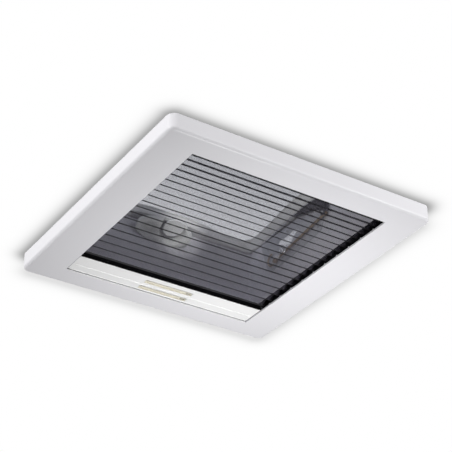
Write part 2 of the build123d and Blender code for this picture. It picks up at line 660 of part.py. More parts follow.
with BuildPart() as snap_studs:
    with BuildSketch(Plane.XY.offset(CEILING_Z)):
        with Locations(*stud_spots):
            Circle(STUD_R)
    extrude(amount=-STUD_L)
snap_studs.part.label = "snap_studs"
export_step(snap_studs.part, "parts/snap_studs.step")

# ---------------------------------------------------------------- dome
dome_screw_spots = [(-DOME_SCREW_X, RIM_Z + RIM_T / 2), (DOME_SCREW_X, RIM_Z + RIM_T / 2)]
dome_wall_planes = [
    Plane(origin=(0, -DOME_HALF, 0), x_dir=(1, 0, 0), z_dir=(0, -1, 0)),
    Plane(origin=(0, DOME_HALF, 0), x_dir=(-1, 0, 0), z_dir=(0, 1, 0)),
    Plane(origin=(-DOME_HALF, 0, 0), x_dir=(0, -1, 0), z_dir=(-1, 0, 0)),
    Plane(origin=(DOME_HALF, 0, 0), x_dir=(0, 1, 0), z_dir=(1, 0, 0)),
]


def dome_screw_holes(depth):
    """Holes for the dome screws, from the skirt inwards."""
    for plane in dome_wall_planes:
        with BuildSketch(plane) as holes:
            with Locations(*dome_screw_spots):
                Circle(SMALL_SCREW_R + RUNNING_GAP)
        extrude(holes.sketch, amount=-depth, mode=Mode.SUBTRACT)


def rounded_square(z, half_x, half_y, corner_r):
    """Rounded rectangle at a height, for a loft."""
    with BuildSketch(Plane.XY.offset(z)) as section:
        RectangleRounded(2 * half_x, 2 * half_y, corner_r)
    return section.sketch


with BuildPart() as dome_rim:
    extrude(rounded_square(RIM_Z, RIM_HALF, RIM_HALF, DOME_CORNER_R - DOME_T), amount=RIM_T)
    seat_x = RIM_INNER_X + RIM_SEAT_W
    seat_y = RIM_INNER_Y + RIM_SEAT_W
    base_half = seat_x + RIM_SEAT_W
    loft([
        rounded_square(RIM_Z + RIM_T, base_half, base_half, PANE_R + RIM_SEAT_W),
        rounded_square(PANE_Z, seat_x, seat_y, PANE_R),
    ])
    pane_opening = rounded_square(SEAT_Z, RIM_INNER_X, RIM_INNER_Y, PANE_R)
    loft(
        [
            rounded_square(RIM_Z, RIM_BOTTOM_HALF, RIM_BOTTOM_HALF, PANE_R / 2),
            pane_opening,
        ],
        mode=Mode.SUBTRACT,
    )
    extrude(pane_opening, amount=RIM_SEAT_T, mode=Mode.SUBTRACT)
    with BuildSketch(Plane.XZ.offset(-WELL_HALF)):
        with Locations((0, RIM_Z)):
            Ellipse(ARCH_HALF, ARCH_RISE)
    extrude(amount=WELL_HALF - RIM_INNER_Y, mode=Mode.SUBTRACT)
    with BuildSketch(Plane.XY.offset(SEAT_Z)):
        with Locations((0, RIM_INNER_Y)):
            Ellipse(LATCH_PAD_HALF, LATCH_PAD_REACH)
    extrude(amount=RIM_SEAT_T)
    dome_screw_holes(DOME_SCREW_L)
dome_rim.part.label = "dome_rim"
export_step(dome_rim.part, "parts/dome_rim.step")

with BuildPart() as inner_pane:
    with BuildSketch(Plane.XY.offset(PANE_Z)):
        RectangleRounded(
            2 * (RIM_INNER_X + PANE_EDGE), 2 * (RIM_INNER_Y + PANE_EDGE), PANE_R - RIM_SEAT_T
        )
    extrude(amount=PANE_T)
inner_pane.part.label = "inner_pane"
export_step(inner_pane.part, "parts/inner_pane.step")


def dome_block(inset):
    """Solid of the dome's skirt, shoulder and crown, drawn in by the wall."""
    corner_r = DOME_CORNER_R - inset
    skirt = rounded_square(DOME_SKIRT_Z, DOME_HALF - inset, DOME_HALF - inset, corner_r)
    mode = Mode.SUBTRACT if inset else Mode.ADD
    extrude(skirt, amount=DOME_SHOULDER_Z - inset - DOME_SKIRT_Z, mode=mode)
    levels = (
        (DOME_SHOULDER_Z, DOME_HALF),
        (DOME_CROWN_Z, DOME_HALF - DOME_CROWN_IN),
        (DOME_TOP_Z, DOME_HALF - DOME_TOP_IN),
    )
    sections = [rounded_square(z - inset, half - inset, half - inset, corner_r) for z, half in levels]
    loft(sections, ruled=True, mode=mode)


with BuildPart() as outer_dome:
    dome_block(0)
    rings = outer_dome.edges().filter_by_position(Axis.Z, DOME_SHOULDER_Z, DOME_CROWN_Z)
    shoulder_and_crown = rings.filter_by(lambda edge: edge.bounding_box().size.Z < DOME_T / 10)
    fillet(shoulder_and_crown, radius=DOME_BLEND_R)
    dome_block(DOME_T)
    notch_w = HINGE_KNUCKLE_W + 2 * (HINGE_EAR_T + HINGE_SIDE_GAP + HINGE_NOTCH_SIDE)
    notch_top = HINGE_Z + HINGE_NOTCH_TOP
    with BuildSketch(Plane.XZ.offset(DOME_HALF - DOME_T)):
        with Locations((-HINGE_X, notch_top / 2), (HINGE_X, notch_top / 2)):
            Rectangle(notch_w, notch_top)
    extrude(amount=DOME_T, mode=Mode.SUBTRACT)
    dome_screw_holes(DOME_T)
outer_dome.part.label = "outer_dome"
export_step(outer_dome.part, "parts/outer_dome.step")

with BuildPart() as dome_screws:
    for plane in dome_wall_planes:
        for x, z in dome_screw_spots:
            seat = Plane(origin=plane.from_local_coords((x, z, 0)), z_dir=plane.z_dir)
            screw(seat, SMALL_HEAD_R, SMALL_HEAD_H, SMALL_SCREW_R, DOME_SCREW_L - RUNNING_GAP)
dome_screws.part.label = "dome_screws"
export_step(dome_screws.part, "parts/dome_screws.step")

# ---------------------------------------------------------------- hinges
for side_name, side in SIDES:
    hinge_x = side * HINGE_X
    ear_mid = HINGE_KNUCKLE_W / 2 + HINGE_SIDE_GAP + HINGE_EAR_T / 2
    base_w = 2 * (ear_mid + HINGE_EAR_T)
    foot_z = FLANGE_Z + FLANGE_T
    with BuildPart() as hinge_base:
        with BuildSketch(Plane.XY.offset(foot_z)):
            with Locations((hinge_x, HINGE_Y - HINGE_KNUCKLE_R / 2)):
                Rectangle(base_w, 3 * HINGE_KNUCKLE_R)
        extrude(amount=HINGE_FOOT_T)
        for ear_x in (hinge_x - ear_mid, hinge_x + ear_mid):
            with BuildSketch(Plane.YZ.offset(ear_x)):
                with Locations((HINGE_Y, (foot_z + HINGE_Z) / 2)):
                    Rectangle(2 * HINGE_KNUCKLE_R, HINGE_Z - foot_z)
                with Locations((HINGE_Y, HINGE_Z)):
                    Circle(HINGE_KNUCKLE_R)
            extrude(amount=HINGE_EAR_T / 2, both=True)
        with BuildSketch(Plane.YZ.offset(hinge_x)):
            with Locations((HINGE_Y, HINGE_Z)):
                Circle(HINGE_PIN_R)
        extrude(amount=base_w, both=True, mode=Mode.SUBTRACT)
    hinge_base.part.label = f"hinge_base_{side_name}"
    export_step(hinge_base.part, f"parts/hinge_base_{side_name}.step")

    with BuildPart() as hinge_pin:
        with BuildSketch(Plane.YZ.offset(hinge_x)):
            with Locations((HINGE_Y, HINGE_Z)):
                Circle(HINGE_PIN_R - RUNNING_GAP)
        extrude(amount=ear_mid + HINGE_EAR_T / 2, both=True)
    hinge_pin.part.label = f"hinge_pin_{side_name}"
    export_step(hinge_pin.part, f"parts/hinge_pin_{side_name}.step")

    with BuildPart() as hinge_arm:
        with BuildSketch(Plane.YZ.offset(hinge_x)):
            with Locations((HINGE_Y, HINGE_Z)):
                Circle(HINGE_KNUCKLE_R)
            with Locations((HINGE_Y, (HINGE_Z + RIM_Z) / 2)):
                Rectangle(2 * HINGE_KNUCKLE_R, RIM_Z - HINGE_Z)
            with Locations((HINGE_Y, HINGE_Z)):
                Circle(HINGE_PIN_R, mode=Mode.SUBTRACT)
        extrude(amount=HINGE_KNUCKLE_W / 2, both=True)
    hinge_arm.part.label = f"hinge_arm_{side_name}"
    export_step(hinge_arm.part, f"parts/hinge_arm_{side_name}.step")

# ---------------------------------------------------------------- side stays
slot_mid = on_slot_line(STAY_ARM * (1 + cos(radians(STAY_OPEN))))
slot_travel = 2 * STAY_ARM * (1 - cos(radians(STAY_OPEN)))
slot_r = STAY_PIN_R + STAY_SLOT_PLAY
rail_x = WELL_HALF - STAY_RAIL_T
slope_run = RIM_BOTTOM_HALF - RIM_INNER_X
bracket_bottom = PIVOT[1] - 2 * STAY_EYE_R
bracket_head = [(PIVOT[0] + dy, PANE_Z) for dy in BRACKET_HEAD_YS]
foot_inner_x = BRACKET_X - STAY_BRACKET_T


def slope_z(x):
    """Height of the rim's sloped underside over a place x in the well."""
    return RIM_Z + (RIM_BOTTOM_HALF - x) / slope_run * RIM_SLOPE_TOP


for side_name, side in SIDES:
    with BuildPart() as stay_rail:
        with BuildSketch(Plane.YZ.offset(side * rail_x)):
            with BuildLine():
                Polyline(
                    *moved(SLOT_OPEN, RAIL_OPEN_END), *moved(SLOT_SHUT, RAIL_SHUT_END), close=True
                )
            make_face()
            fillet(vertices(), radius=RAIL_CORNER_R)
            with Locations(Location(slot_mid, -STAY_SLOPE)):
                SlotCenterToCenter(slot_travel, 2 * slot_r, mode=Mode.SUBTRACT)
            with Locations(*RAIL_SCREWS):
                Circle(SMALL_SCREW_R + RUNNING_GAP, mode=Mode.SUBTRACT)
        extrude(amount=side * STAY_RAIL_T)
    stay_rail.part.label = f"stay_rail_{side_name}"
    export_step(stay_rail.part, f"parts/stay_rail_{side_name}.step")

    rod_plane = Plane.YZ.offset(side * STAY_ROD_X)
    with BuildPart() as stay_rod:
        with BuildSketch(rod_plane):
            with Locations(PIVOT, SLOT_SHUT):
                Circle(STAY_EYE_R)
        extrude(amount=STAY_EYE_T / 2, both=True)
        rod_axis = (0, cos(SLOPE), -sin(SLOPE))
        with BuildSketch(Plane(origin=(side * STAY_ROD_X, *PIVOT), z_dir=rod_axis)):
            Circle(STAY_ROD_R)
        extrude(amount=STAY_ARM)
        with BuildSketch(rod_plane):
            with Locations(SLOT_SHUT):
                Circle(STAY_PIN_R)
        extrude(amount=side * (WELL_HALF - SOFT_GAP - STAY_ROD_X))
        with BuildSketch(rod_plane):
            with Locations(PIVOT):
                Circle(STAY_PIVOT_R + RUNNING_GAP)
        extrude(amount=STAY_EYE_R, both=True, mode=Mode.SUBTRACT)
    stay_rod.part.label = f"stay_rod_{side_name}"
    export_step(stay_rod.part, f"parts/stay_rod_{side_name}.step")

    with BuildPart() as stay_bracket:
        with BuildSketch(Plane.XZ):
            with BuildLine():
                Polyline(
                    (side * foot_inner_x, bracket_bottom),
                    (side * BRACKET_X, bracket_bottom),
                    (side * BRACKET_X, slope_z(BRACKET_X) - STAY_FOOT_T),
                    (side * (RIM_BOTTOM_HALF - STAY_FOOT_T), RIM_Z),
                    (side * RIM_BOTTOM_HALF, RIM_Z),
                    (side * foot_inner_x, slope_z(foot_inner_x)),
                    close=True,
                )
            make_face()
        extrude(amount=WELL_HALF, both=True)
        with BuildSketch(Plane.YZ):
            with BuildLine():
                Polyline(*moved(PIVOT, BRACKET_FOOT), *bracket_head, close=True)
            make_face()
            with Locations(PIVOT):
                Circle(STAY_EYE_R)
        extrude(amount=side * WELL_HALF, mode=Mode.INTERSECT)
        with BuildSketch(Plane.YZ.offset(side * foot_inner_x)):
            with Locations(PIVOT):
                Circle(STAY_PIVOT_R)
        extrude(amount=side * STAY_BRACKET_T, mode=Mode.SUBTRACT)
    stay_bracket.part.label = f"stay_bracket_{side_name}"
    export_step(stay_bracket.part, f"parts/stay_bracket_{side_name}.step")

with BuildPart() as stay_pivots:
    for _, side in SIDES:
        with BuildSketch(Plane.YZ.offset(side * foot_inner_x)):
            with Locations(PIVOT):
                Circle(STAY_PIVOT_R)
        extrude(amount=side * (STAY_ROD_X + STAY_EYE_T / 2 - foot_inner_x))
        with BuildSketch(Plane.YZ.offset(side * foot_inner_x)):
            with Locations(PIVOT):
                Circle(SMALL_HEAD_R)
        extrude(amount=-side * SMALL_HEAD_H)
stay_pivots.part.label = "stay_pivots"
export_step(stay_pivots.part, "parts/stay_pivots.step")

with BuildPart() as rail_screws:
    for _, side in SIDES:
        for y, z in RAIL_SCREWS:
            seat = Plane(origin=(side * rail_x, y, z), z_dir=(-side, 0, 0))
            screw(seat, SMALL_HEAD_R, SMALL_HEAD_H, SMALL_SCREW_R, SMALL_SCREW_L)
rail_screws.part.label = "rail_screws"
export_step(rail_screws.part, "parts/rail_screws.step")

# ---------------------------------------------------------------- latch
tray_face = LATCH_PLANE.offset(-TRAY_BACK)
tray_back = tray_face.offset(-TRAY_T)
tongue_low = tray_back.offset(-TONGUE_GAP)
pillar_l = 2 * (SEAT_Z - LATCH_Z)
tray_low = TRAY_CENTRE[1] - TRAY_HALF_Y
tray_rise = TRAY_BACK + TRAY_CHIN
chin_face = Plane(
    origin=tray_face.from_local_coords((0, tray_low, 0)),
    x_dir=(1, 0, 0),
    z_dir=LATCH_PLANE.z_dir * 2 * TRAY_HALF_Y - LATCH_PLANE.y_dir * tray_rise,
)


def on_chin_face(edge):
    """True for an edge that lies in the tray's sloped face."""
    ends = [chin_face.to_local_coords(edge.position_at(share)).Z for share in (0, 0.5, 1)]
    return max(abs(height) for height in ends) < RUNNING_GAP

with BuildPart() as latch_housing:
    with BuildSketch(tray_back):
        with Locations(TRAY_CENTRE):
            Ellipse(TRAY_HALF_X, TRAY_HALF_Y)
    extrude(amount=TRAY_T + TRAY_BACK + TRAY_CHIN)
    with BuildSketch(chin_face):
        Rectangle(4 * TRAY_HALF_X, 4 * TRAY_HALF_X)
    extrude(amount=4 * TRAY_CHIN, mode=Mode.SUBTRACT)
    face_edge = latch_housing.edges().filter_by(on_chin_face)
    fillet(face_edge, radius=TRAY_EDGE_R)
    with BuildSketch(chin_face):
        with Locations(DISH_CENTRE):
            Ellipse(DISH_HALF_X, DISH_HALF_Y)
    with BuildSketch(chin_face.offset(-DISH_DEPTH)):
        with Locations(DISH_CENTRE):
            Ellipse(DISH_HALF_X - 2 * DISH_DEPTH, DISH_HALF_Y - 2 * DISH_DEPTH)
    loft(mode=Mode.SUBTRACT)
    with BuildSketch(tray_face):
        Circle(KNOB_R + SOFT_GAP + COLLAR_W)
    with BuildSketch(tray_face.offset(TRAY_BACK + TRAY_CHIN)):
        Circle(POCKET_R)
    loft(mode=Mode.SUBTRACT)
    with BuildSketch(tray_back):
        with Locations(*[(x, PILLAR_FORWARD) for x in PILLAR_XS]):
            Circle(PILLAR_R)
    extrude(amount=-pillar_l)
    with BuildSketch(Plane.XY.offset(SEAT_Z)):
        with Locations((TRAY_CENTRE[0], LATCH_Y)):
            Rectangle(2 * TRAY_HALF_X, 2 * pillar_l)
    extrude(amount=pillar_l, mode=Mode.SUBTRACT)
    with BuildSketch(tray_face):
        Circle(SPINDLE_R + RUNNING_GAP)
    extrude(amount=-TRAY_T, mode=Mode.SUBTRACT)
latch_housing.part.label = "latch_housing"
export_step(latch_housing.part, "parts/latch_housing.step")

with BuildPart() as latch_collar:
    with BuildSketch(tray_face):
        Circle(KNOB_R + SOFT_GAP + COLLAR_W)
        Circle(KNOB_R + SOFT_GAP, mode=Mode.SUBTRACT)
    extrude(amount=COLLAR_T)
    collar_edges = latch_collar.faces().sort_by(Axis((0, 0, 0), LATCH_PLANE.z_dir))[-1].edges()
    fillet(collar_edges, radius=COLLAR_W / 4)
latch_collar.part.label = "latch_collar"
export_step(latch_collar.part, "parts/latch_collar.step")

with BuildPart() as latch_knob:
    with BuildSketch(LATCH_PLANE):
        Circle(KNOB_R)
    extrude(amount=-KNOB_T)
    knob_edge = latch_knob.faces().sort_by(Axis((0, 0, 0), LATCH_PLANE.z_dir))[-1].edges()
    fillet(knob_edge, radius=KNOB_T / 3)
latch_knob.part.label = "latch_knob"
export_step(latch_knob.part, "parts/latch_knob.step")

with BuildPart() as latch_spindle:
    with BuildSketch(LATCH_PLANE.offset(-KNOB_T)):
        Circle(SPINDLE_R)
    extrude(amount=-(TRAY_BACK - KNOB_T + TRAY_T + TONGUE_GAP + TONGUE_T))
latch_spindle.part.label = "latch_spindle"
export_step(latch_spindle.part, "parts/latch_spindle.step")

with BuildPart() as latch_tongue:
    with BuildSketch(tongue_low):
        Circle(TONGUE_W)
        with Locations((-TONGUE_L / 2, 0)):
            Rectangle(TONGUE_L, TONGUE_W)
        Circle(SPINDLE_R, mode=Mode.SUBTRACT)
    extrude(amount=-TONGUE_T)
latch_tongue.part.label = "latch_tongue"
export_step(latch_tongue.part, "parts/latch_tongue.step")

with BuildPart() as strike_plate:
    with BuildSketch(Plane.YZ):
        with BuildLine():
            Polyline(
                (WELL_HALF, STRIKE_BOTTOM_Z),
                (WELL_HALF, STRIKE_LEDGE_Z + STRIKE_LEDGE_T),
                (STRIKE_LEDGE_Y, STRIKE_LEDGE_Z + STRIKE_LEDGE_T),
                (STRIKE_LEDGE_Y, STRIKE_LEDGE_Z),
                (WELL_HALF - STRIKE_T, STRIKE_LEDGE_Z),
                (WELL_HALF - STRIKE_T, STRIKE_BOTTOM_Z),
                close=True,
            )
        make_face()
    extrude(amount=STRIKE_HALF, both=True)
    with BuildSketch(Plane.XZ.offset(-WELL_HALF)):
        with Locations(*strike_screw_spots):
            Circle(SMALL_SCREW_R + RUNNING_GAP)
    extrude(amount=STRIKE_T, mode=Mode.SUBTRACT)
strike_plate.part.label = "strike_plate"
export_step(strike_plate.part, "parts/strike_plate.step")

with BuildPart() as strike_screws:
    for x, z in strike_screw_spots:
        seat = Plane(origin=(x, WELL_HALF - STRIKE_T, z), z_dir=(0, -1, 0))
        screw(seat, SMALL_HEAD_R, SMALL_HEAD_H, SMALL_SCREW_R, SMALL_SCREW_L)
strike_screws.part.label = "strike_screws"
export_step(strike_screws.part, "parts/strike_screws.step")
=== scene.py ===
"""Looks of a caravan rooflight: finishes for its moulded parts, and its pleated net and blackout cloth.

Lengths are metres. The room-side face of the ceiling frame is z = 0 and +Z points out through the roof.
"""

import json
import logging
import math
from dataclasses import dataclass
from enum import Enum

import bpy
import numpy as np
from mathutils import Matrix, Vector

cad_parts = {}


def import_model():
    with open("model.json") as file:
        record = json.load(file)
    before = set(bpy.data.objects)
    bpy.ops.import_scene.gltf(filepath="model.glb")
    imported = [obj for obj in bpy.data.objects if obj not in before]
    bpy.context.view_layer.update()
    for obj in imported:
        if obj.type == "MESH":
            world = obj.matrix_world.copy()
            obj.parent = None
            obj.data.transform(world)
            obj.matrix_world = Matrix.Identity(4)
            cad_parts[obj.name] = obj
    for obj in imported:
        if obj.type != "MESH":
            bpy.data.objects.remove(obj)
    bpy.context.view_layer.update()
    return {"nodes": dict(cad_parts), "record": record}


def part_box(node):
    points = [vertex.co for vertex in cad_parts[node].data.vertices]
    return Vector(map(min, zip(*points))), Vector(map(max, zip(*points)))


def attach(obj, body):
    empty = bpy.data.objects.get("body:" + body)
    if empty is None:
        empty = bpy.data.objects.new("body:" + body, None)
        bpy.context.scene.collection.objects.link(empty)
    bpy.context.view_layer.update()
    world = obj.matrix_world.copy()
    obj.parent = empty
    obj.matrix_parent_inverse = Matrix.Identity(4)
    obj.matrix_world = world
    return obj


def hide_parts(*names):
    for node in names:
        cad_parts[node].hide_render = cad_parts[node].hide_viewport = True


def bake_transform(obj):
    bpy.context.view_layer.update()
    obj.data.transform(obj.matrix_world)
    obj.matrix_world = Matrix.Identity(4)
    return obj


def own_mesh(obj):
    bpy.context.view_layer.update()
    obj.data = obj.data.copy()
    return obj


log = logging.getLogger("rooflight")
MM = 0.001


def tone(red: int, green: int, blue: int) -> tuple[float, float, float, float]:
    """Turn a screen colour into a linear one.

    Args:
        red: Red from 0 to 255.
        green: Green from 0 to 255.
        blue: Blue from 0 to 255.

    Returns:
        Linear red, green and blue, and an alpha of 1.
    """
    shares = [level / 255 for level in (red, green, blue)]
    linear = [s / 12.92 if s <= 0.04045 else ((s + 0.055) / 1.055) ** 2.4 for s in shares]
    return (*linear, 1.0)


# ---- node trees


class Graph:
    """A node tree with short calls to add and link nodes."""

    def __init__(self, tree: bpy.types.NodeTree) -> None:
        """Keep the tree and empty it."""
        self.tree = tree
        tree.nodes.clear()

    def add(self, kind: str, **values: object) -> bpy.types.Node:
        """Add a node.

        Args:
            kind: The node's type without its ShaderNode or NodeGroup prefix.
            **values: Properties by name. A name that is a socket's, with _ for a space, sets or links it.

        Returns:
            The node.
        """
        prefix = "" if kind.startswith("NodeGroup") else "ShaderNode"
        node = self.tree.nodes.new(prefix + kind)
        sockets = {}
        for name, value in values.items():
            if hasattr(node, name) and not name[0].isupper():
                setattr(node, name, value)
            else:
                sockets[name] = value
        for name, value in sockets.items():
            self.feed(node, name, value)
        return node

    def feed(self, node: bpy.types.Node, name: str, value: object) -> None:
        """Set a socket, or link an output to it.

        Args:
            node: The node that is fed.
            name: The socket's name with _ for a space, or in_ and its number.
            value: A plain value or an output socket.
        """
        key = int(name[3:]) if name.startswith("in_") else name.replace("_", " ")
        socket = node.inputs[key]
        if isinstance(value, bpy.types.NodeSocket):
            self.tree.links.new(value, socket)
        else:
            socket.default_value = value

    def math(
        self, operation: str, first: object, second: object = 0.0, third: object = 0.0, clamp: bool = False
    ) -> bpy.types.NodeSocket:
        """Add a Math node.

        Args:
            operation: Its operation, as Blender names it.
            first: First value or output.
            second: Second value or output.
            third: Third value or output, if the operation takes one.
            clamp: Keep the result from 0 to 1.

        Returns:
            The node's output socket.
        """
        inputs = {"in_0": first, "in_1": second, "in_2": third}
        return self.add("Math", operation=operation, use_clamp=clamp, **inputs).outputs[0]

    def mix(self, share: object, first: object, second: object) -> bpy.types.NodeSocket:
        """Mix two colours.

        Args:
            share: Share of the second colour.
            first: First colour or output.
            second: Second colour or output.

        Returns:
            The colour output.
        """
        return self.add("Mix", data_type="RGBA", in_0=share, in_6=first, in_7=second).outputs[2]

    def group(self, tree: bpy.types.NodeTree, **values: object) -> bpy.types.Node:
        """Place a node group.

        Args:
            tree: The group's tree.
            **values: Its inputs by name, with _ for a space.

        Returns:
            The group node.
        """
        node = self.add("Group")
        node.node_tree = tree
        for name, value in values.items():
            self.feed(node, name, value)
        return node


class Kind(Enum):
    """Socket types of a node group."""

    VALUE = "NodeSocketFloat"
    VECTOR = "NodeSocketVector"


def new_group(name: str, inputs: tuple, outputs: tuple, vectors: tuple = ()):
    """Make an empty node group with named sockets.

    Args:
        name: The group's name.
        inputs: Names of its inputs.
        outputs: Names of its outputs.
        vectors: Names of the sockets that carry vectors. The others carry values.

    Returns:
        The graph, the outputs of its input node and its output node.
    """
    tree = bpy.data.node_groups.new(name, "ShaderNodeTree")
    graph = Graph(tree)
    for way, sockets in (("INPUT", inputs), ("OUTPUT", outputs)):
        for socket in sockets:
            kind = Kind.VECTOR if socket in vectors else Kind.VALUE
            tree.interface.new_socket(socket, in_out=way, socket_type=kind.value)
    return graph, graph.add("NodeGroupInput").outputs, graph.add("NodeGroupOutput")


class Effects:
    """Shader node groups that the finishes share."""

    def __init__(self) -> None:
        """Build each group once."""
        self.grain = self.build_grain()
        self.edges = self.build_edges()
        self.dust = self.build_dust()
        self.weave = self.build_weave()
        self.crease = self.build_crease()
        self.shade = self.build_shade()

    def build_grain(self) -> bpy.types.NodeTree:
        """Moulding grain: fine noise for height, and slow clouds for colour."""
        graph, given, result = new_group("moulding grain", ("Scale", "Cloud Scale"), ("Height", "Cloud"))
        place = graph.add("TexCoord").outputs["Object"]
        kinds = ("Height", "Scale", 2.0, 0.6), ("Cloud", "Cloud Scale", 3.0, 0.5)
        for name, scale, detail, rough in kinds:
            noise = graph.add("TexNoise", Vector=place, Scale=given[scale], Detail=detail, Roughness=rough)
            graph.feed(result, name, noise.outputs["Fac"])
        return graph.tree

    def build_edges(self) -> bpy.types.NodeTree:
        """Edge mask: one less the cosine between the rounded and the true normal, times a gain."""
        graph, given, result = new_group("edge mask", ("Radius", "Gain"), ("Mask", "Normal"), ("Normal",))
        rounded = graph.add("Bevel", samples=4, Radius=given["Radius"]).outputs["Normal"]
        true = graph.add("NewGeometry").outputs["Normal"]
        cosine = graph.add("VectorMath", operation="DOT_PRODUCT", in_0=rounded, in_1=true)
        turned = graph.math("SUBTRACT", 1.0, cosine.outputs["Value"])
        graph.feed(result, "Mask", graph.math("MULTIPLY", turned, given["Gain"], clamp=True))
        graph.feed(result, "Normal", rounded)
        return graph.tree

    def build_dust(self) -> bpy.types.NodeTree:
        """Dust mask: patchy noise, stronger on faces that look up."""
        graph, given, result = new_group("dust mask", ("Scale", "Amount"), ("Mask",))
        place = graph.add("TexCoord").outputs["Object"]
        patches = graph.add("TexNoise", Vector=place, Scale=given["Scale"], Detail=5.0)
        upward = graph.add("SeparateXYZ", Vector=graph.add("NewGeometry").outputs["Normal"])
        lying = graph.math("MULTIPLY_ADD", upward.outputs["Z"], 0.35, 0.45)
        speckle = graph.math("MULTIPLY", patches.outputs["Fac"], lying, clamp=True)
        graph.feed(result, "Mask", graph.math("MULTIPLY", speckle, given["Amount"], clamp=True))
        return graph.tree

    def build_weave(self) -> bpy.types.NodeTree:
        """Woven threads in UV metres: the higher of two rows of rounded ridges at right angles."""
        graph, given, result = new_group("weave", ("Pitch",), ("Height", "Cloud"))
        place = graph.add("TexCoord").outputs["UV"]
        parts = graph.add("SeparateXYZ", Vector=place)
        ridges = []
        for axis in ("X", "Y"):
            turns = graph.math("DIVIDE", parts.outputs[axis], given["Pitch"])
            swing = graph.math("SINE", graph.math("MULTIPLY", turns, 2 * math.pi))
            ridges.append(graph.math("ABSOLUTE", swing))
        graph.feed(result, "Height", graph.math("MAXIMUM", ridges[0], ridges[1]))
        clouds = graph.add("TexNoise", Vector=place, Scale=9.0, Detail=3.0)
        graph.feed(result, "Cloud", clouds.outputs["Fac"])
        return graph.tree

    def build_crease(self) -> bpy.types.NodeTree:
        """Fold mask: 1 less the sixth power of the distance to the nearest fold over the width."""
        graph, given, result = new_group("crease", ("Width",), ("Mask",))
        away = graph.add("Attribute", attribute_name="fold_distance").outputs["Fac"]
        share = graph.math("DIVIDE", away, given["Width"], clamp=True)
        graph.feed(result, "Mask", graph.math("SUBTRACT", 1.0, graph.math("POWER", share, 6.0)))
        return graph.tree

    def build_shade(self) -> bpy.types.NodeTree:
        """Open share round a rounded square: 1 - amount * exp(-(d / width)^power) at the distance d."""
        inputs = ("Centre", "Half", "Radius", "Width", "Power", "Amount")
        graph, given, result = new_group("square shade", inputs, ("Open",), ("Centre",))
        place = graph.add("TexCoord").outputs["Object"]
        offset = graph.add("VectorMath", operation="SUBTRACT", in_0=place, in_1=given["Centre"])
        away = graph.add("VectorMath", operation="ABSOLUTE", in_0=offset.outputs[0])
        split = graph.add("SeparateXYZ", Vector=away.outputs[0]).outputs
        core = graph.math("SUBTRACT", given["Half"], given["Radius"])
        past = [graph.math("MAXIMUM", graph.math("SUBTRACT", split[axis], core), 0.0) for axis in "XY"]
        corner = graph.add("CombineXYZ", X=past[0], Y=past[1])
        reach = graph.add("VectorMath", operation="LENGTH", in_0=corner.outputs[0])
        distance = graph.math("SUBTRACT", reach.outputs["Value"], given["Radius"])
        share = graph.math("DIVIDE", graph.math("MAXIMUM", distance, 0.0), given["Width"])
        fall = graph.math("POWER", share, given["Power"])
        left = graph.math("EXPONENT", graph.math("MULTIPLY", fall, -1.0))
        shaded = graph.math("MULTIPLY", left, given["Amount"])
        graph.feed(result, "Open", graph.math("SUBTRACT", 1.0, shaded))
        return graph.tree


# ---- finishes


def new_material(name: str) -> tuple[bpy.types.Material, Graph, bpy.types.Node]:
    """Make a material with an output node.

    Args:
        name: The material's name.

    Returns:
        The material, its graph and its output node.
    """
    material = bpy.data.materials.new(name)
    material.use_nodes = True
    graph = Graph(material.node_tree)
    return material, graph, graph.add("OutputMaterial")


DUST = tone(178, 174, 166)
# Near-black colour of the painted shade in recesses.
PAINTED_SHADE = tone(22, 21, 24)


class Finish:
    """How a part looks. Each kind of finish adds its own nodes in surface."""

    def surface(self, graph: Graph, effects: Effects) -> bpy.types.NodeSocket:
        """Add the nodes of the finish.

        Args:
            graph: The material's graph.
            effects: The shared groups.

        Returns:
            The shader's output.
        """
        raise NotImplementedError

    def material(self, name: str, effects: Effects) -> bpy.types.Material:
        """Build the material.

        Args:
            name: Its name.
            effects: The shared groups.

        Returns:
            The material.
        """
        material, graph, output = new_material(name)
        graph.feed(output, "Surface", self.surface(graph, effects))
        return material


@dataclass(frozen=True)
class Moulded(Finish):
    """Moulded plastic or rubber with a fine grain, rounded edges with a painted highlight, a little dust,
    and painted shade in its recesses.
    """

    colour: tuple
    roughness: float = 0.42
    grain: float = 0.9 * MM
    depth: float = 0.02 * MM
    clouds: float = 0.05
    edge_radius: float = 0.5 * MM
    edge_highlight: float = 0.25
    dust: float = 0.12
    gloss: float = 0.5
    recess_shade: float = 0.0
    recess_shade_reach: float = 12 * MM

    def surface(self, graph: Graph, effects: Effects) -> bpy.types.NodeSocket:
        """Add the nodes of the finish."""
        grain = graph.group(effects.grain, Scale=1 / self.grain, Cloud_Scale=14.0)
        edges = graph.group(effects.edges, Radius=self.edge_radius, Gain=4.0)
        dust = graph.group(effects.dust, Scale=60.0, Amount=self.dust)
        deep = tuple(c * (1 - self.clouds) for c in self.colour[:3]) + (1.0,)
        # Painted highlight: edges are lightened towards white by the edge mask.
        highlit_edge = tuple(c + (1 - c) * self.edge_highlight for c in self.colour[:3]) + (1.0,)
        base = graph.mix(grain.outputs["Cloud"], deep, self.colour)
        base = graph.mix(edges.outputs["Mask"], base, highlit_edge)
        base = graph.mix(dust.outputs["Mask"], base, DUST)
        # Painted shade: the colour darkens towards near-black where ambient occlusion finds the surface
        # closed in.
        if self.recess_shade:
            open_share = graph.add("AmbientOcclusion", samples=8, Distance=self.recess_shade_reach)
            closed = graph.math("SUBTRACT", 1.0, open_share.outputs["AO"])
            closed = graph.math("MULTIPLY", closed, self.recess_shade, clamp=True)
            base = graph.mix(closed, base, PAINTED_SHADE)
        rough = graph.math("MULTIPLY_ADD", grain.outputs["Cloud"], 0.12, self.roughness - 0.06)
        bump = graph.add(
            "Bump", Strength=0.6, Distance=self.depth,
            Height=grain.outputs["Height"], Normal=edges.outputs["Normal"],
        )
        shader = graph.add(
            "BsdfPrincipled", Base_Color=base, Roughness=rough, Normal=bump.outputs["Normal"],
            Specular_IOR_Level=self.gloss,
        )
        return shader.outputs[0]


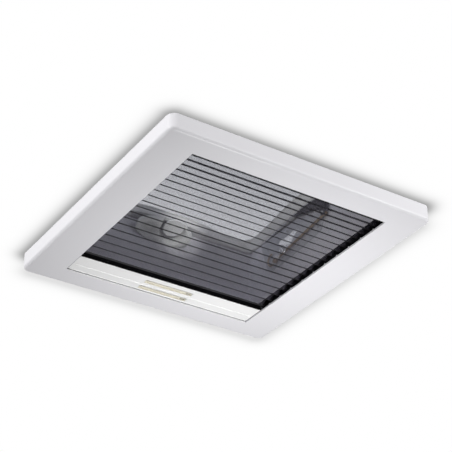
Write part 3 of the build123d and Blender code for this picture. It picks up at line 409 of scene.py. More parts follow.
@dataclass(frozen=True)
class Metal(Finish):
    """Drawn or plated metal with fine lines along X and duller patches."""

    colour: tuple
    dull: tuple
    roughness: float = 0.3
    line_pitch: float = 0.5 * MM
    stretch: float = 0.04

    def surface(self, graph: Graph, effects: Effects) -> bpy.types.NodeSocket:
        """Add the nodes of the finish."""
        grain = graph.group(effects.grain, Scale=1 / (3 * MM), Cloud_Scale=45.0)
        edges = graph.group(effects.edges, Radius=0.3 * MM, Gain=3.0)
        place = graph.add("TexCoord").outputs["Object"]
        drawn = graph.add("Mapping", Vector=place, Scale=(self.stretch, 1.0, 1.0))
        lines = graph.add("TexNoise", Vector=drawn.outputs[0], Scale=1 / self.line_pitch, Detail=1.0)
        base = graph.mix(grain.outputs["Cloud"], self.dull, self.colour)
        rough = graph.math("MULTIPLY_ADD", lines.outputs["Fac"], 0.2, self.roughness - 0.1)
        bump = graph.add(
            "Bump", Strength=0.3, Distance=0.02 * MM,
            Height=lines.outputs["Fac"], Normal=edges.outputs["Normal"],
        )
        shader = graph.add(
            "BsdfPrincipled", Base_Color=base, Roughness=rough, Metallic=1.0,
            Normal=bump.outputs["Normal"],
        )
        return shader.outputs[0]


@dataclass(frozen=True)
class Acrylic(Finish):
    """Clear tinted acrylic with faint waviness. Daylight and shadows pass straight through it."""

    tint: tuple
    shade: tuple
    roughness: float = 0.03

    def surface(self, graph: Graph, effects: Effects) -> bpy.types.NodeSocket:
        """Add the nodes of the finish."""
        grain = graph.group(effects.grain, Scale=28.0, Cloud_Scale=14.0)
        bump = graph.add("Bump", Strength=0.1, Distance=0.1 * MM, Height=grain.outputs["Height"])
        dust = graph.group(effects.dust, Scale=40.0, Amount=0.05)
        rough = graph.math("ADD", dust.outputs["Mask"], self.roughness)
        along = graph.add("SeparateXYZ", Vector=graph.add("TexCoord").outputs["Object"]).outputs["Y"]
        # The tint turns to the greyer shade colour towards -Y.
        tint = graph.mix(graph.math("MULTIPLY_ADD", along, 3.0, 0.55, clamp=True), self.shade, self.tint)
        shader = graph.add(
            "BsdfPrincipled", Base_Color=tint, Roughness=rough, IOR=1.3,
            Transmission_Weight=1.0, Normal=bump.outputs["Normal"],
        )
        path = graph.add("LightPath").outputs
        passing = graph.math("MAXIMUM", path["Is Shadow Ray"], path["Is Diffuse Ray"])
        clear = graph.add("BsdfTransparent", Color=tint)
        mixed = graph.add("MixShader", in_0=passing, in_1=shader.outputs[0], in_2=clear.outputs[0])
        return mixed.outputs[0]


@dataclass(frozen=True)
class Woven(Finish):
    """Woven cloth or net. Its threads follow the UV map, which is in metres."""

    colour: tuple
    shade: tuple
    pitch: float
    cover: float = 1.0
    thread_cover: float = 0.0
    crease_width: float = 0.0
    crease_shade: tuple = (0.0, 0.0, 0.0, 1.0)
    sheen: float = 0.2
    roughness: float = 0.8

    def surface(self, graph: Graph, effects: Effects) -> bpy.types.NodeSocket:
        """Add the nodes of the finish. A net's alpha is its cover, higher on threads, full on creases,
        where the colour is a painted crease shade.
        """
        weave = graph.group(effects.weave, Pitch=self.pitch)
        base = graph.mix(weave.outputs["Cloud"], self.shade, self.colour)
        bump = graph.add("Bump", Strength=0.5, Distance=0.1 * MM, Height=weave.outputs["Height"])
        shader = graph.add(
            "BsdfPrincipled", Base_Color=base, Roughness=self.roughness,
            Sheen_Weight=self.sheen, Normal=bump.outputs["Normal"],
        )
        cover = graph.math("MULTIPLY_ADD", weave.outputs["Height"], self.thread_cover, self.cover)
        if self.crease_width:
            crease = graph.group(effects.crease, Width=self.crease_width)
            # Painted shade: the colour darkens to the crease shade near each fold.
            graph.feed(shader, "Base_Color", graph.mix(crease.outputs["Mask"], base, self.crease_shade))
            cover = graph.math("MAXIMUM", cover, crease.outputs["Mask"])
        if self.cover < 1.0:
            graph.feed(shader, "Alpha", cover)
        return shader.outputs[0]


MATT_BLACK = Moulded(tone(6, 6, 8), roughness=0.7, edge_highlight=0.0, dust=0.0, gloss=0.05)
FINISHES = {
    "frame_white": Moulded(tone(236, 235, 239), roughness=0.38, clouds=0.02, dust=0.05),
    "bar_white": Moulded(tone(250, 250, 250), roughness=0.35, clouds=0.01, dust=0.04),
    "liner_white": Moulded(tone(232, 230, 236), roughness=0.5, dust=0.05),
    "roof_white": Moulded(tone(230, 229, 234), roughness=0.45, dust=0.12),
    "guide_black": MATT_BLACK,
    "clip_white": Moulded(tone(236, 236, 238), roughness=0.3),
    "cassette_grey": Metal(tone(188, 189, 193), tone(150, 151, 156), roughness=0.4),
    "strip_black": MATT_BLACK,
    "shoe_grey": Moulded(tone(140, 140, 144), roughness=0.5),
    "rubber_black": Moulded(tone(30, 30, 31), roughness=0.7, grain=0.5 * MM, dust=0.25),
    "pane_clear": Acrylic(tone(250, 251, 254), tone(236, 237, 241)),
    "rim_grey": Moulded(tone(246, 246, 244), roughness=0.4, dust=0.02),
    "latch_grey": Moulded(tone(238, 239, 236), roughness=0.42, dust=0.03, recess_shade=1.5),
    "knob_grey": Moulded(tone(250, 251, 250), roughness=0.36, dust=0.03, recess_shade=0.8),
    "rod_bronze": Metal(tone(190, 172, 150), tone(150, 134, 116), roughness=0.38),
    "rail_grey": Moulded(tone(198, 199, 204), roughness=0.4),
    "bracket_dark": Moulded(tone(66, 64, 70), roughness=0.55, edge_highlight=0.12),
    "steel": Metal(tone(205, 206, 208), tone(160, 161, 164), roughness=0.3),
    "hinge_white": Moulded(tone(222, 222, 224), roughness=0.45, dust=0.2),
    "net_black": Woven(
        tone(82, 79, 90), tone(68, 66, 76), pitch=0.8 * MM, cover=0.45, thread_cover=0.08, sheen=0.0,
        crease_width=1.8 * MM, crease_shade=tone(9, 8, 13),
    ),
    "blackout_cloth": Woven(
        tone(214, 215, 220), tone(196, 197, 204), pitch=0.6 * MM,
        crease_width=0.7 * MM, crease_shade=tone(158, 159, 167),
    ),
    "grip_cream": Moulded(tone(246, 242, 228), roughness=0.5, dust=0.05),
    # Colour of the painted shade wedge at the end of each finger grip.
    "grip_shade": Moulded(tone(96, 90, 78), roughness=0.6, edge_highlight=0.0),
    "bright_steel": Metal(tone(240, 240, 242), tone(222, 222, 226), roughness=0.14),
}

# ---- meshes


def grid_mesh(
    name: str, points: np.ndarray, uvs: np.ndarray | None = None,
    wrap_rows: bool = False, wrap_columns: bool = False,
) -> bpy.types.Object:
    """Make a surface from a grid of points.

    Quad (i, j) joins the points (i, j), (i, j + 1), (i + 1, j + 1) and (i + 1, j).

    Args:
        name: The object's name.
        points: Array of rows by columns by 3, in metres.
        uvs: Array of rows by columns by 2, if the finish needs it.
        wrap_rows: Join the last row to the first.
        wrap_columns: Join the last column to the first.

    Returns:
        The object, at the origin and in the scene.
    """
    rows, columns = points.shape[:2]
    index = np.arange(rows * columns).reshape(rows, columns)
    index = np.pad(index, ((0, wrap_rows), (0, wrap_columns)), mode="wrap")
    quads = np.stack(
        [index[:-1, :-1], index[:-1, 1:], index[1:, 1:], index[1:, :-1]], axis=-1
    ).reshape(-1, 4)
    mesh = bpy.data.meshes.new(name)
    mesh.from_pydata(points.reshape(-1, 3), [], quads)
    if uvs is not None:
        layer = mesh.uv_layers.new(name="cut")
        layer.data.foreach_set("uv", uvs.reshape(-1, 2)[quads.reshape(-1)].reshape(-1))
    log.info("%s: %d faces", name, len(quads))
    mesh.shade_smooth()
    mesh.set_sharp_from_angle(angle=math.radians(40))
    piece = bpy.data.objects.new(name, mesh)
    bpy.context.scene.collection.objects.link(piece)
    return piece


def ease(share: np.ndarray) -> np.ndarray:
    """Smooth step from 0 to 1: 3 s^2 - 2 s^3 of the share held between 0 and 1."""
    held = np.clip(share, 0.0, 1.0)
    return held * held * (3.0 - 2.0 * held)


def ring(half_x: float, half_y: float, radius: float, arc: int = 9, side: int = 40) -> np.ndarray:
    """Points round a rounded rectangle, anticlockwise from the +X end of its +X +Y corner.

    Corners are evenly turned quarter circles and sides are evenly spaced, so rings match point by point.

    Args:
        half_x: Half of its width.
        half_y: Half of its depth.
        radius: Radius of its corners.
        arc: Points in a corner.
        side: Points along a side.

    Returns:
        Array of points by 2.
    """
    corners = np.array([(1, 1), (-1, 1), (-1, -1), (1, -1)], float)
    centres = corners * (half_x - radius, half_y - radius)
    turns = np.linspace(0.0, math.pi / 2, arc) + np.arange(4)[:, None] * math.pi / 2
    arcs = centres[:, None, :] + radius * np.stack([np.cos(turns), np.sin(turns)], axis=-1)
    shares = np.linspace(0.0, 1.0, side + 2)[1:-1, None]
    sides = arcs[:, -1:, :] * (1 - shares) + np.roll(arcs, -1, axis=0)[:, :1, :] * shares
    return np.concatenate([arcs, sides], axis=1).reshape(-1, 2)


def tube(name: str, path: np.ndarray, radius: float, sides: int = 12) -> bpy.types.Object:
    """Round rod along a path, with rounded ends.

    Each ring stands square to the path: the centre plus the radius times cos and sin of the turn along
    two normals. The first and last rings shrink to a fifth.

    Args:
        name: The piece's name.
        path: Array of points by 3.
        radius: Its radius.
        sides: Points round it.

    Returns:
        The rod.
    """
    along = np.gradient(path, axis=0)
    along /= np.linalg.norm(along, axis=1, keepdims=True)
    first = np.cross(along, (1.0, 0.31, 0.17))
    first /= np.linalg.norm(first, axis=1, keepdims=True)
    second = np.cross(along, first)
    turns = np.linspace(0.0, 2 * math.pi, sides, endpoint=False)[None, :, None]
    radii = np.full(len(path), radius)
    radii[[0, -1]] *= 0.2
    rings = first[:, None] * np.cos(turns) + second[:, None] * np.sin(turns)
    return grid_mesh(name, path[:, None] + radii[:, None, None] * rings, wrap_columns=True)


def of_side(stem: str, side: int) -> str:
    """Name of a node or body on one side, which is 1 for right and -1 for left."""
    return f"{stem}_{'right' if side > 0 else 'left'}"


def place(piece: bpy.types.Object, material: bpy.types.Material, body: str, slot: str) -> None:
    """Dress a piece and say what it rides on.

    Args:
        piece: The piece.
        material: Its material.
        body: The body that it moves with.
        slot: The record's material slot. Not used.
    """
    dress(piece, material)
    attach(piece, body)


def dress(piece: bpy.types.Object, material: bpy.types.Material) -> None:
    """Give a piece one material.

    Args:
        piece: The piece.
        material: Its material.
    """
    piece.data.materials.clear()
    piece.data.materials.append(material)


def pleats(folds: np.ndarray, rises: np.ndarray, mid_z: float, lines: int, crown: float):
    """Profile of a pleated cloth across its folds.

    Fold i stands at the given y, and at mid_z plus or minus half the rise of its panel. Between folds the
    profile is a straight panel whose lines crowd towards the creases: the share s along the panel becomes
    s - crown * sin(2 pi s) / 2 pi.

    Args:
        folds: The y of each fold.
        rises: The rise of each panel.
        mid_z: Middle height.
        lines: Lines of points in each panel.
        crown: How much the points crowd towards the folds.

    Returns:
        Arrays of y, z, length along the cloth and distance to the nearest fold.
    """
    runs = np.diff(folds)
    levels = np.concatenate([[0.0], np.where(np.arange(len(rises)) % 2, 0.5, -0.5) * rises])
    steps = np.arange(lines) / lines
    steps = steps - crown * np.sin(2 * math.pi * steps) / (2 * math.pi)
    ys = (folds[:-1, None] + runs[:, None] * steps).reshape(-1)
    zs = (levels[:-1, None] + np.diff(levels)[:, None] * steps).reshape(-1)
    spans = np.hypot(runs, np.diff(levels))
    nearest = (spans[:, None] * np.minimum(steps, 1.0 - steps)).reshape(-1)
    ys, zs = np.append(ys, folds[-1]), np.append(zs, levels[-1]) + mid_z
    lengths = np.concatenate([[0.0], np.cumsum(np.hypot(np.diff(ys), np.diff(zs)))])
    return ys, zs, lengths, np.append(nearest, 0.0)


@dataclass
class Blinds:
    """The pleated fly screen and the pleated blackout cloth."""

    materials: dict
    lean: float = 0.76
    steepening: float = 0.6
    skew: float = 0.34
    hidden_pleats: int = 3
    pleat_pitch: float = 19.0 * MM
    spread: float = 0.25
    mid_z: float = 14.8 * MM
    opening_y: float = -0.205
    hem: tuple = (0.2 * MM, 1.1 * MM)
    squashed: float = 0.096
    stack_panel: float = 10.5 * MM
    stack_pleats: int = 22

    def cloth(self, name: str, node: str, profile: tuple, columns: int, ripple: float):
        """Make a pleated cloth as wide as its node.

        The point at share u across and length v along lies on the profile, moved up and along by the
        ripple times sin of a few waves of u, whose phase drifts with v.

        Args:
            name: The piece's name.
            node: The CAD node whose width it has.
            profile: Arrays of y, z, length and distance to the nearest fold.
            columns: Points across.
            ripple: Height of the ripple.

        Returns:
            The cloth and its flat length.
        """
        low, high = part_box(node)
        ys, zs, lengths, nearest = profile
        across = np.linspace(0.0, 1.0, columns)
        u, v = np.meshgrid(across, lengths)
        wave = np.sin(2 * math.pi * (3.1 * u + 5.3 * v))
        wave = wave + 0.5 * np.sin(2 * math.pi * (7.7 * u - 11.0 * v))
        held = np.sin(math.pi * np.linspace(0.0, 1.0, len(ys)))[:, None]
        points = np.empty((len(ys), columns, 3))
        points[..., 0] = low.x + (high.x - low.x) * u
        points[..., 1] = ys[:, None] + ripple * wave * held
        points[..., 2] = zs[:, None] + 0.5 * ripple * wave * held
        uvs = np.stack([u * (high.x - low.x), v], axis=-1)
        piece = grid_mesh(name, points, uvs)
        away = piece.data.attributes.new("fold_distance", "FLOAT", "POINT")
        away.data.foreach_set("value", np.repeat(nearest, columns))
        return piece, float(lengths[-1])

    def build_net(self) -> None:
        """Fly screen: closed folds in its cassette, then folds that open towards the bar.

        Low folds move back and high folds forward by half the skew of a run, so rising panels are longer.
        The hem at the clamp strip is doubled, so its last points count as near a fold and take the fold's
        full cover and painted crease shade.
        """
        low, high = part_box("fly_net")
        hidden = np.linspace(low.y, self.opening_y, 2 * self.hidden_pleats + 1)[:-1]
        run = high.y - self.opening_y
        share = np.linspace(0.0, 1.0, 2 * round(run / self.pleat_pitch) + 2)
        opened = self.opening_y + run * ((1 - self.spread) * share + self.spread * share**2)
        folds = np.concatenate([hidden, opened])
        runs = np.diff(folds)
        near_cassette = np.clip((high.y - folds[:-1]) / run, 0.0, 1.0)
        rises = (self.lean + self.steepening * near_cassette**3) * runs * (1 + self.skew)
        rises[: 2 * self.hidden_pleats] = self.lean * runs[-1]
        shift = 0.5 * self.skew * runs[1:] * np.where(np.arange(1, len(runs)) % 2, -1.0, 1.0)
        folds[1:-1] += shift
        profile = pleats(folds, rises, self.mid_z, 4, 0.6)
        profile[-1][-len(self.hem):] = self.hem
        piece, length = self.cloth("pleated_fly_net", "fly_net", profile, 60, 0.35 * MM)
        dress(piece, self.materials["net_black"])
        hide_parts("fly_net")
        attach(piece, "frame")
        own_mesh(piece)

    def build_blackout(self) -> None:
        """Blackout cloth: a closed stack that the bar draws out, evenly when it is drawn."""
        low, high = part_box("blackout_cloth")
        share = np.linspace(0.0, 1.0, 2 * self.stack_pleats + 1)
        even = 0.5 - np.sin(np.arcsin(1 - 2 * share) / 3)
        folds = low.y + (high.y - low.y) * even
        rises = np.sqrt(self.stack_panel**2 - np.diff(folds) ** 2)
        profile = pleats(folds, rises, self.mid_z - 0.8 * MM, 2, 0.0)
        piece, length = self.cloth("pleated_blackout_cloth", "blackout_cloth", profile, 8, 0.0)
        dress(piece, self.materials["blackout_cloth"])
        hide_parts("blackout_cloth")
        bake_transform(piece)


# ---- lid and latch


@dataclass
class Lid:
    """The dome's inner rim, which bows in round the pane, and the moulded tray of the latch."""

    materials: dict
    rim_bulge: float = 0.18
    seat_in: tuple = (9.0 * MM, 0.5 * MM)
    seat_radius: float = 25.0 * MM
    latch_bow: float = 15.0 * MM
    side_bow: float = 15.0 * MM
    foot_in: float = 2 * MM
    foot_bow: tuple = (1.2, 0.8)
    outer_radius: float = 44 * MM
    step: float = 6 * MM
    ledges: tuple = ((6 * MM, 30 * MM), (8 * MM, 31 * MM))
    tray_shift: tuple = (-10.4 * MM, 15.0 * MM)
    tray_half: tuple = (54.0 * MM, 22.0 * MM)
    tray_lean: float = 0.26
    tray_tilt: float = math.radians(18.0)
    tray_power: float = 2.6
    pocket_radius: float = 27.0 * MM
    pocket_shift: float = 3.0 * MM
    dish_middle: tuple = (-42 * MM, 15 * MM)
    dish_half: tuple = (18 * MM, 15 * MM)
    pocket_depth: float = 9 * MM

    def bowed(self, points: np.ndarray, latch_bow: float, side_bow: float) -> np.ndarray:
        """Pull the middle of the latch side and of both flanks inwards.

        The pull at the latch side is its bow times the ease of (150 mm - |x|) / 120 mm, and at a flank its
        bow times the ease of (150 mm - |y|) / 170 mm.

        Args:
            points: Array of points by 2.
            latch_bow: Largest pull at the latch side.
            side_bow: Largest pull at a flank.

        Returns:
            The pulled points.
        """
        x, y = points[:, 0], points[:, 1]
        at_latch = y > 0.85 * np.max(y)
        at_side = np.abs(x) > 0.85 * np.max(x)
        in_y = at_latch * latch_bow * ease((150 * MM - np.abs(x)) / (120 * MM))
        in_x = at_side * side_bow * ease((150 * MM - np.abs(y)) / (170 * MM))
        return np.stack([x - np.sign(x) * in_x, y - in_y], axis=-1)

    def foot(self) -> np.ndarray:
        """Line just inside the well's wall where the rim's slope starts."""
        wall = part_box("strike_plate")[1].y
        line = ring(wall - self.foot_in, wall - self.foot_in, self.seat_radius / 2)
        return self.bowed(line, self.foot_bow[0] * self.latch_bow, self.foot_bow[1] * self.side_bow)

    def build_rim(self) -> None:
        """Rim: a closed loop of rings, flat below, rising in a soft wave to the pane's seat, then stepped.

        Between the foot of the slope and the seat, the ring at share s lies at that share between the two
        outlines, and at that share of the height plus the bulge times sin of 2 pi s.
        """
        low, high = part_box("dome_rim")
        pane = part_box("inner_pane")[1]
        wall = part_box("strike_plate")[1].y
        step = low.z + self.step
        seat = ring(pane.x - self.seat_in[0], pane.y - self.seat_in[1], self.seat_radius)
        seat = self.bowed(seat, self.latch_bow, self.side_bow)
        foot = self.foot()
        outside = ring(high.x, high.x, self.outer_radius)
        ledges = [ring(wall + out, wall + out, radius) for out, radius in self.ledges]
        shares = np.linspace(0.0, 1.0, 13)[:, None, None]
        slope = foot * (1 - shares) + seat * shares
        shares = shares[:, 0, 0]
        lift = (shares - self.rim_bulge * np.sin(2 * math.pi * shares)) * (high.z - 2 * MM - low.z)
        rings = [outside, *slope, seat, *ledges, outside]
        heights = [low.z, *(low.z + lift), high.z, high.z, step, step]
        points = np.stack(
            [np.column_stack([ring_, np.full(len(ring_), z)]) for ring_, z in zip(rings, heights)]
        )
        piece = grid_mesh("bowed_dome_rim", points, wrap_rows=True, wrap_columns=True)
        place(piece, self.materials["rim_grey"], "dome", "rim_grey")
        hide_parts("dome_rim")

    def build_tray(self) -> None:
        """Latch tray: an oblong pad with a pocket round the knob and a finger dish beside it.

        In the knob's plane, the outline is a superellipse. The face leans forward by a share
        of the distance down from the knob. The pocket and the dish are taken off as eased wells, the edge
        rolls back as the ease of the last fifth of the radius, and three more rings drop to the rim.
        """
        centre = np.array(sum(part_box("latch_knob"), Vector()) / 2)
        across = np.array((1.0, 0.0, 0.0))
        down = np.array((0.0, math.cos(self.tray_tilt), -math.sin(self.tray_tilt)))
        out = np.array((0.0, -math.sin(self.tray_tilt), -math.cos(self.tray_tilt)))
        turns = np.linspace(0.0, 2 * math.pi, 144, endpoint=False)
        power = 2 / self.tray_power
        edge_a = self.tray_half[0] * np.sign(np.cos(turns)) * np.abs(np.cos(turns)) ** power
        edge_b = self.tray_half[1] * np.sign(np.sin(turns)) * np.abs(np.sin(turns)) ** power
        radii = np.concatenate([np.linspace(0.0, 1.0, 72), [1.01, 1.02, 1.02]])[:, None]
        a = self.tray_shift[0] + radii * edge_a
        b = self.tray_shift[1] + radii * edge_b
        height = 2 * MM + self.tray_lean * b
        off_a, off_b = a - self.pocket_shift, b - self.pocket_shift
        shallow = ease(0.5 + 0.5 * np.cos(np.arctan2(off_b, off_a) - math.radians(50)))
        rim = self.pocket_radius + 2 * MM * shallow - np.hypot(off_a, off_b)
        pocket = ease(rim / (2 * MM + 7 * MM * shallow))
        height = height * (1 - pocket) - self.pocket_depth * pocket
        dish_a = (a - self.dish_middle[0]) / self.dish_half[0]
        dish_b = (b - self.dish_middle[1]) / self.dish_half[1]
        dish = ease(1.3 - np.hypot(dish_a, dish_b))
        height -= self.pocket_depth * dish * (1 - pocket)
        height -= 4 * MM * ease((radii - 0.85) / 0.15)
        height[-3:] -= np.array([1, 3, 6])[:, None] * MM
        points = centre + a[..., None] * across + b[..., None] * down + height[..., None] * out
        piece = grid_mesh("latch_tray", points, wrap_columns=True)
        place(piece, self.materials["latch_grey"], "dome", "latch_grey")
        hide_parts("latch_housing", "latch_collar")


# ---- small trims


@dataclass(frozen=True)
class Pocket:
    """Finger pocket of a bar."""

    prefix: str
    low_y: float
    high_y: float
    face_z: float
    body: str
    half_x: float = 46 * MM


@dataclass
class Trims:
    """Raised lips on the bars and the frame, cream cups in the finger grips, and a dark wedge of painted
    shade at each cup's +X end.
    """

    materials: dict
    lip_radius: float = 0.8 * MM
    cup_inset: float = 0.3 * MM
    cup_steps: tuple = (
        (MM, 0.05), (MM, -0.2), (0.0, -0.3), (-0.1 * MM, 0.6), (-0.2 * MM, 2.6), (-1.2 * MM, 3.1)
    )

    def lip(self, name: str, ends: tuple, y: float, z: float, body: str) -> None:
        """Half-sunk bead along X.

        Args:
            name: The piece's name.
            ends: Its first and last x.
            y: Its y.
            z: Height of the face that it lies on.
            body: The body that it moves with.
        """
        xs = np.linspace(*ends, 40)
        xs[[1, -2]] = ends[0] + MM, ends[1] - MM
        path = np.stack([xs, np.full(40, y), np.full(40, z)], axis=-1)
        place(tube(name, path, self.lip_radius), self.materials["bar_white"], body, "bar_white")

    def build_lips(self) -> None:
        """Beads on the room-side face of both bars and of the frame's latch edge."""
        fly_low, fly_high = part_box("fly_bar")
        dark_low, dark_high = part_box("blackout_bar")
        ends = (fly_low.x + MM, fly_high.x - MM)
        self.lip("fly_bar_front_lip", ends, fly_low.y + MM, fly_low.z, "fly_screen_bar")
        self.lip("fly_bar_back_lip", ends, fly_high.y - MM, fly_low.z, "fly_screen_bar")
        self.lip("dark_bar_lip", ends, dark_high.y - MM, dark_low.z, "blackout_blind_bar")
        seam = dark_high.y + 2.4 * MM
        self.lip("frame_latch_lip", ends, seam, 0.3 * MM, "frame")

    def cup(self, pocket: Pocket) -> None:
        """Finger cup: rings that go over the pocket's edge, down its wall and across its floor.

        The floor drops by an eased step near its +X end, where the finger hooks in.

        Args:
            pocket: The pocket that it lines.
        """
        mid, half_y = (pocket.low_y + pocket.high_y) / 2, (pocket.high_y - pocket.low_y) / 2
        inside = pocket.half_x - self.cup_inset, half_y - self.cup_inset
        rings = []
        for grow, depth in self.cup_steps:
            radius = min(1.2 * MM, inside[1] + grow - 0.1 * MM)
            outline = ring(inside[0] + grow, inside[1] + grow, radius) + (0.0, mid)
            rings.append(np.column_stack([outline, np.full(len(outline), pocket.face_z + depth * MM)]))
        floor = rings[-1].copy()
        floor[:, 1] = mid
        points = np.stack([*rings, floor])
        notch = ease((points[-2:, :, 0] - pocket.half_x + 11 * MM) / (4 * MM))
        points[-2:, :, 2] += 0.6 * MM * notch
        piece = grid_mesh(pocket.prefix + "_grip_cup", points, wrap_columns=True)
        place(piece, self.materials["grip_cream"], pocket.body, "bar_white")

    def painted_shade_wedge(self, pocket: Pocket) -> None:
        """Dark wedge of painted shade at a cup's +X end, where the finger pocket's end is in shadow: it
        widens to the end and dips in its middle.

        Args:
            pocket: The pocket that it lies in.
        """
        share = np.linspace(0.0, 1.0, 10)[:, None]
        across = np.linspace(0.0, 1.0, 7)[None, :]
        x = pocket.half_x - 9.5 * MM + 9.0 * MM * share + 0 * across
        y = pocket.high_y - 0.5 * MM
        y = y - (pocket.high_y - pocket.low_y - MM) * (0.15 + 0.85 * share) * across
        z = pocket.face_z + 2.2 * MM + 0.8 * MM * np.sin(math.pi * across) * share
        piece = grid_mesh(pocket.prefix + "_grip_shade_wedge", np.stack([x, y, z], axis=-1))
        place(piece, self.materials["grip_shade"], pocket.body, "bar_white")

    def build_cups(self) -> None:
        """One cup with its dark wedge of painted shade in each bar's finger pocket."""
        fly_z, dark_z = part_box("fly_bar")[0].z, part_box("blackout_bar")[0].z
        for pocket in (
            Pocket("fly_bar", 163.6 * MM, 169.8 * MM, fly_z, "fly_screen_bar"),
            Pocket("dark_bar", 184.5 * MM, 190.7 * MM, dark_z, "blackout_blind_bar"),
        ):
            self.cup(pocket)
            self.painted_shade_wedge(pocket)


# ---- stays and guides


@dataclass
class Fittings:
    """Wire ends and plates of the stays, the bead under the lid's rim, and the guides' strips and clips.

    The plate's lifts and the bead's depths and backs are in millimetres.
    """

    materials: dict
    eye_radius: float = 4.2 * MM
    eye_thickness: float = 5.0 * MM
    hook_turn: tuple = (-120.0, 110.0)
    hook_middle: tuple = (11.0 * MM, 6.5 * MM)
    hook_radius: float = 10.0 * MM
    hook_stretch: float = 1.1
    wire_radius: float = 1.5 * MM
    spring_radius: float = 0.8 * MM
    spring_waves: float = 2.5
    spring_swing: float = 8.0 * MM
    spring_length: float = 48 * MM
    plate_middle: tuple = (58 * MM, 101 * MM)
    plate_half: tuple = (23 * MM, 9.5 * MM)
    plate_shares: tuple = (0.0, 0.5, 0.86, 0.9, 0.94, 0.98, 1.0)
    plate_lifts: tuple = (0.2, 0.2, 0.2, 0.35, 0.45, 0.35, 0.0)
    bead_reach: tuple = (-60 * MM, 140 * MM)
    bead_depths: tuple = (0.0, 0.6, 1.6, 2.3, 2.6, 2.6)
    bead_backs: tuple = (0.0, 0.1, 0.2, 0.4, 0.8, 2.0)
    strip_low: float = 20.2 * MM
    head_half: tuple = (1.4 * MM, 0.9 * MM)
    head_rise: float = 1.05 * MM

    def rod_line(self, side: int) -> tuple[float, np.ndarray, np.ndarray]:
        """Where a stay rod lies.

        Args:
            side: 1 for the right stay and -1 for the left one.

        Returns:
            The x of its axis, and its pivot end and slot end as arrays of y and z.
        """
        low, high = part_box(of_side("stay_rod", side))
        eye = self.eye_radius
        x = side * (max(abs(low.x), abs(high.x)) - self.eye_thickness)
        return x, np.array((low.y + eye, high.z - eye)), np.array((high.y - eye, low.z + eye))

    def build_hook(self, side: int) -> None:
        """Hooked end of a rod: part of a circle in the rod's plane, out from the eye and back up."""
        x, _, eye = self.rod_line(side)
        turns = np.radians(np.linspace(*self.hook_turn, 24))
        centre = eye + np.array(self.hook_middle)
        path = np.stack([
            np.full(24, x), centre[0] + self.hook_radius * np.cos(turns),
            centre[1] + self.hook_radius * self.hook_stretch * np.sin(turns),
        ], axis=-1)
        body = of_side("stay", side)
        hook = tube(body + "_hook", path, self.wire_radius)
        place(hook, self.materials["rod_bronze"], body, "rod_bronze")

    def build_spring(self, side: int) -> None:
        """Wave spring on the inner side of a rod: a sine across the rod whose height fades at both ends."""
        x, pivot, eye = self.rod_line(side)
        along = (eye - pivot) / np.linalg.norm(eye - pivot)
        square = np.array((-along[1], along[0]))
        share = np.linspace(0.0, 1.0, 72)
        swing = np.sin(2 * math.pi * self.spring_waves * share)
        wave = self.spring_swing * swing * np.sin(math.pi * share) ** 0.5
        spots = eye - along * self.spring_length * (1 - share)[:, None]
        spots = spots + square * (wave + 2 * MM)[:, None]
        path = np.column_stack([np.full(72, x - side * 3.4 * MM), spots])
        body = of_side("stay", side)
        spring = tube(body + "_spring", path, self.spring_radius)
        place(spring, self.materials["bright_steel"], body, "steel")

    def build_plate(self, side: int) -> None:
        """Bright wear plate on a rail: rings from its middle out, with a raised lip and a rolled edge.

        The outline is a triangle whose corners are rounded: the point at turn t lies at the radius
        1 / (1 + 0.28 cos 3 t) times the mean half size.
        """
        name = of_side("stay_rail", side)
        low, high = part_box(name)
        face = side * min(abs(low.x), abs(high.x))
        turns = np.linspace(0.0, 2 * math.pi, 72, endpoint=False)
        size = 1.0 / (1.0 + 0.28 * np.cos(3 * (turns - math.pi / 2)))
        shares = np.array(self.plate_shares)[:, None]
        lift = np.array(self.plate_lifts)[:, None] * MM
        y = self.plate_middle[0] + shares * size * np.cos(turns) * self.plate_half[0]
        z = self.plate_middle[1] + shares * size * np.sin(turns) * self.plate_half[1]
        points = np.stack([face - side * lift + 0 * y, y, z], axis=-1)
        piece = grid_mesh(name + "_wear_plate", points, wrap_columns=True)
        place(piece, self.materials["bright_steel"], "frame", "steel")

    def build_bead(self, side: int, foot: np.ndarray) -> None:
        """Thin bright band where the lid's rim starts, from past the middle to the latch side.

        Its face leans out by an eighth of its height, and its lower edge rolls back.
        """
        near, far = self.bead_reach
        flank = foot[(foot[:, 0] * side > far) & (foot[:, 1] > near) & (foot[:, 1] < far)]
        flank = flank[np.argsort(flank[:, 1])]
        depths = np.array(self.bead_depths)[:, None] * MM
        back = np.array(self.bead_backs)[:, None] * MM
        points = np.stack([
            flank[:, 0] + side * (back - 0.4 * MM), flank[:, 1] + 0 * depths,
            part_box("dome_rim")[0].z - depths + 0 * flank[:, 0],
        ], axis=-1)
        piece = grid_mesh(of_side("rim_bead", side), points)
        place(piece, self.materials["bright_steel"], "dome", "steel")

    def build_strip(self, side: int) -> None:
        """Pale strip on the upper half of a guide, just above the net's edge, with a rounded nose."""
        name = of_side("side_guide", side)
        low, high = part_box(name)
        face = side * min(abs(low.x), abs(high.x))
        ys = np.linspace(low.y + MM, high.y - MM, 48)
        turns = np.linspace(-math.pi / 2, math.pi / 2, 9)
        half = (high.z - self.strip_low) / 2
        xs = face - side * 0.6 * MM * np.cos(turns)
        zs = self.strip_low + half + half * np.sin(turns)
        points = np.empty((48, 9, 3))
        points[..., 0], points[..., 1], points[..., 2] = xs, ys[:, None], zs
        piece = grid_mesh(name + "_edge_strip", points)
        place(piece, self.materials["liner_white"], "frame", "liner_white")

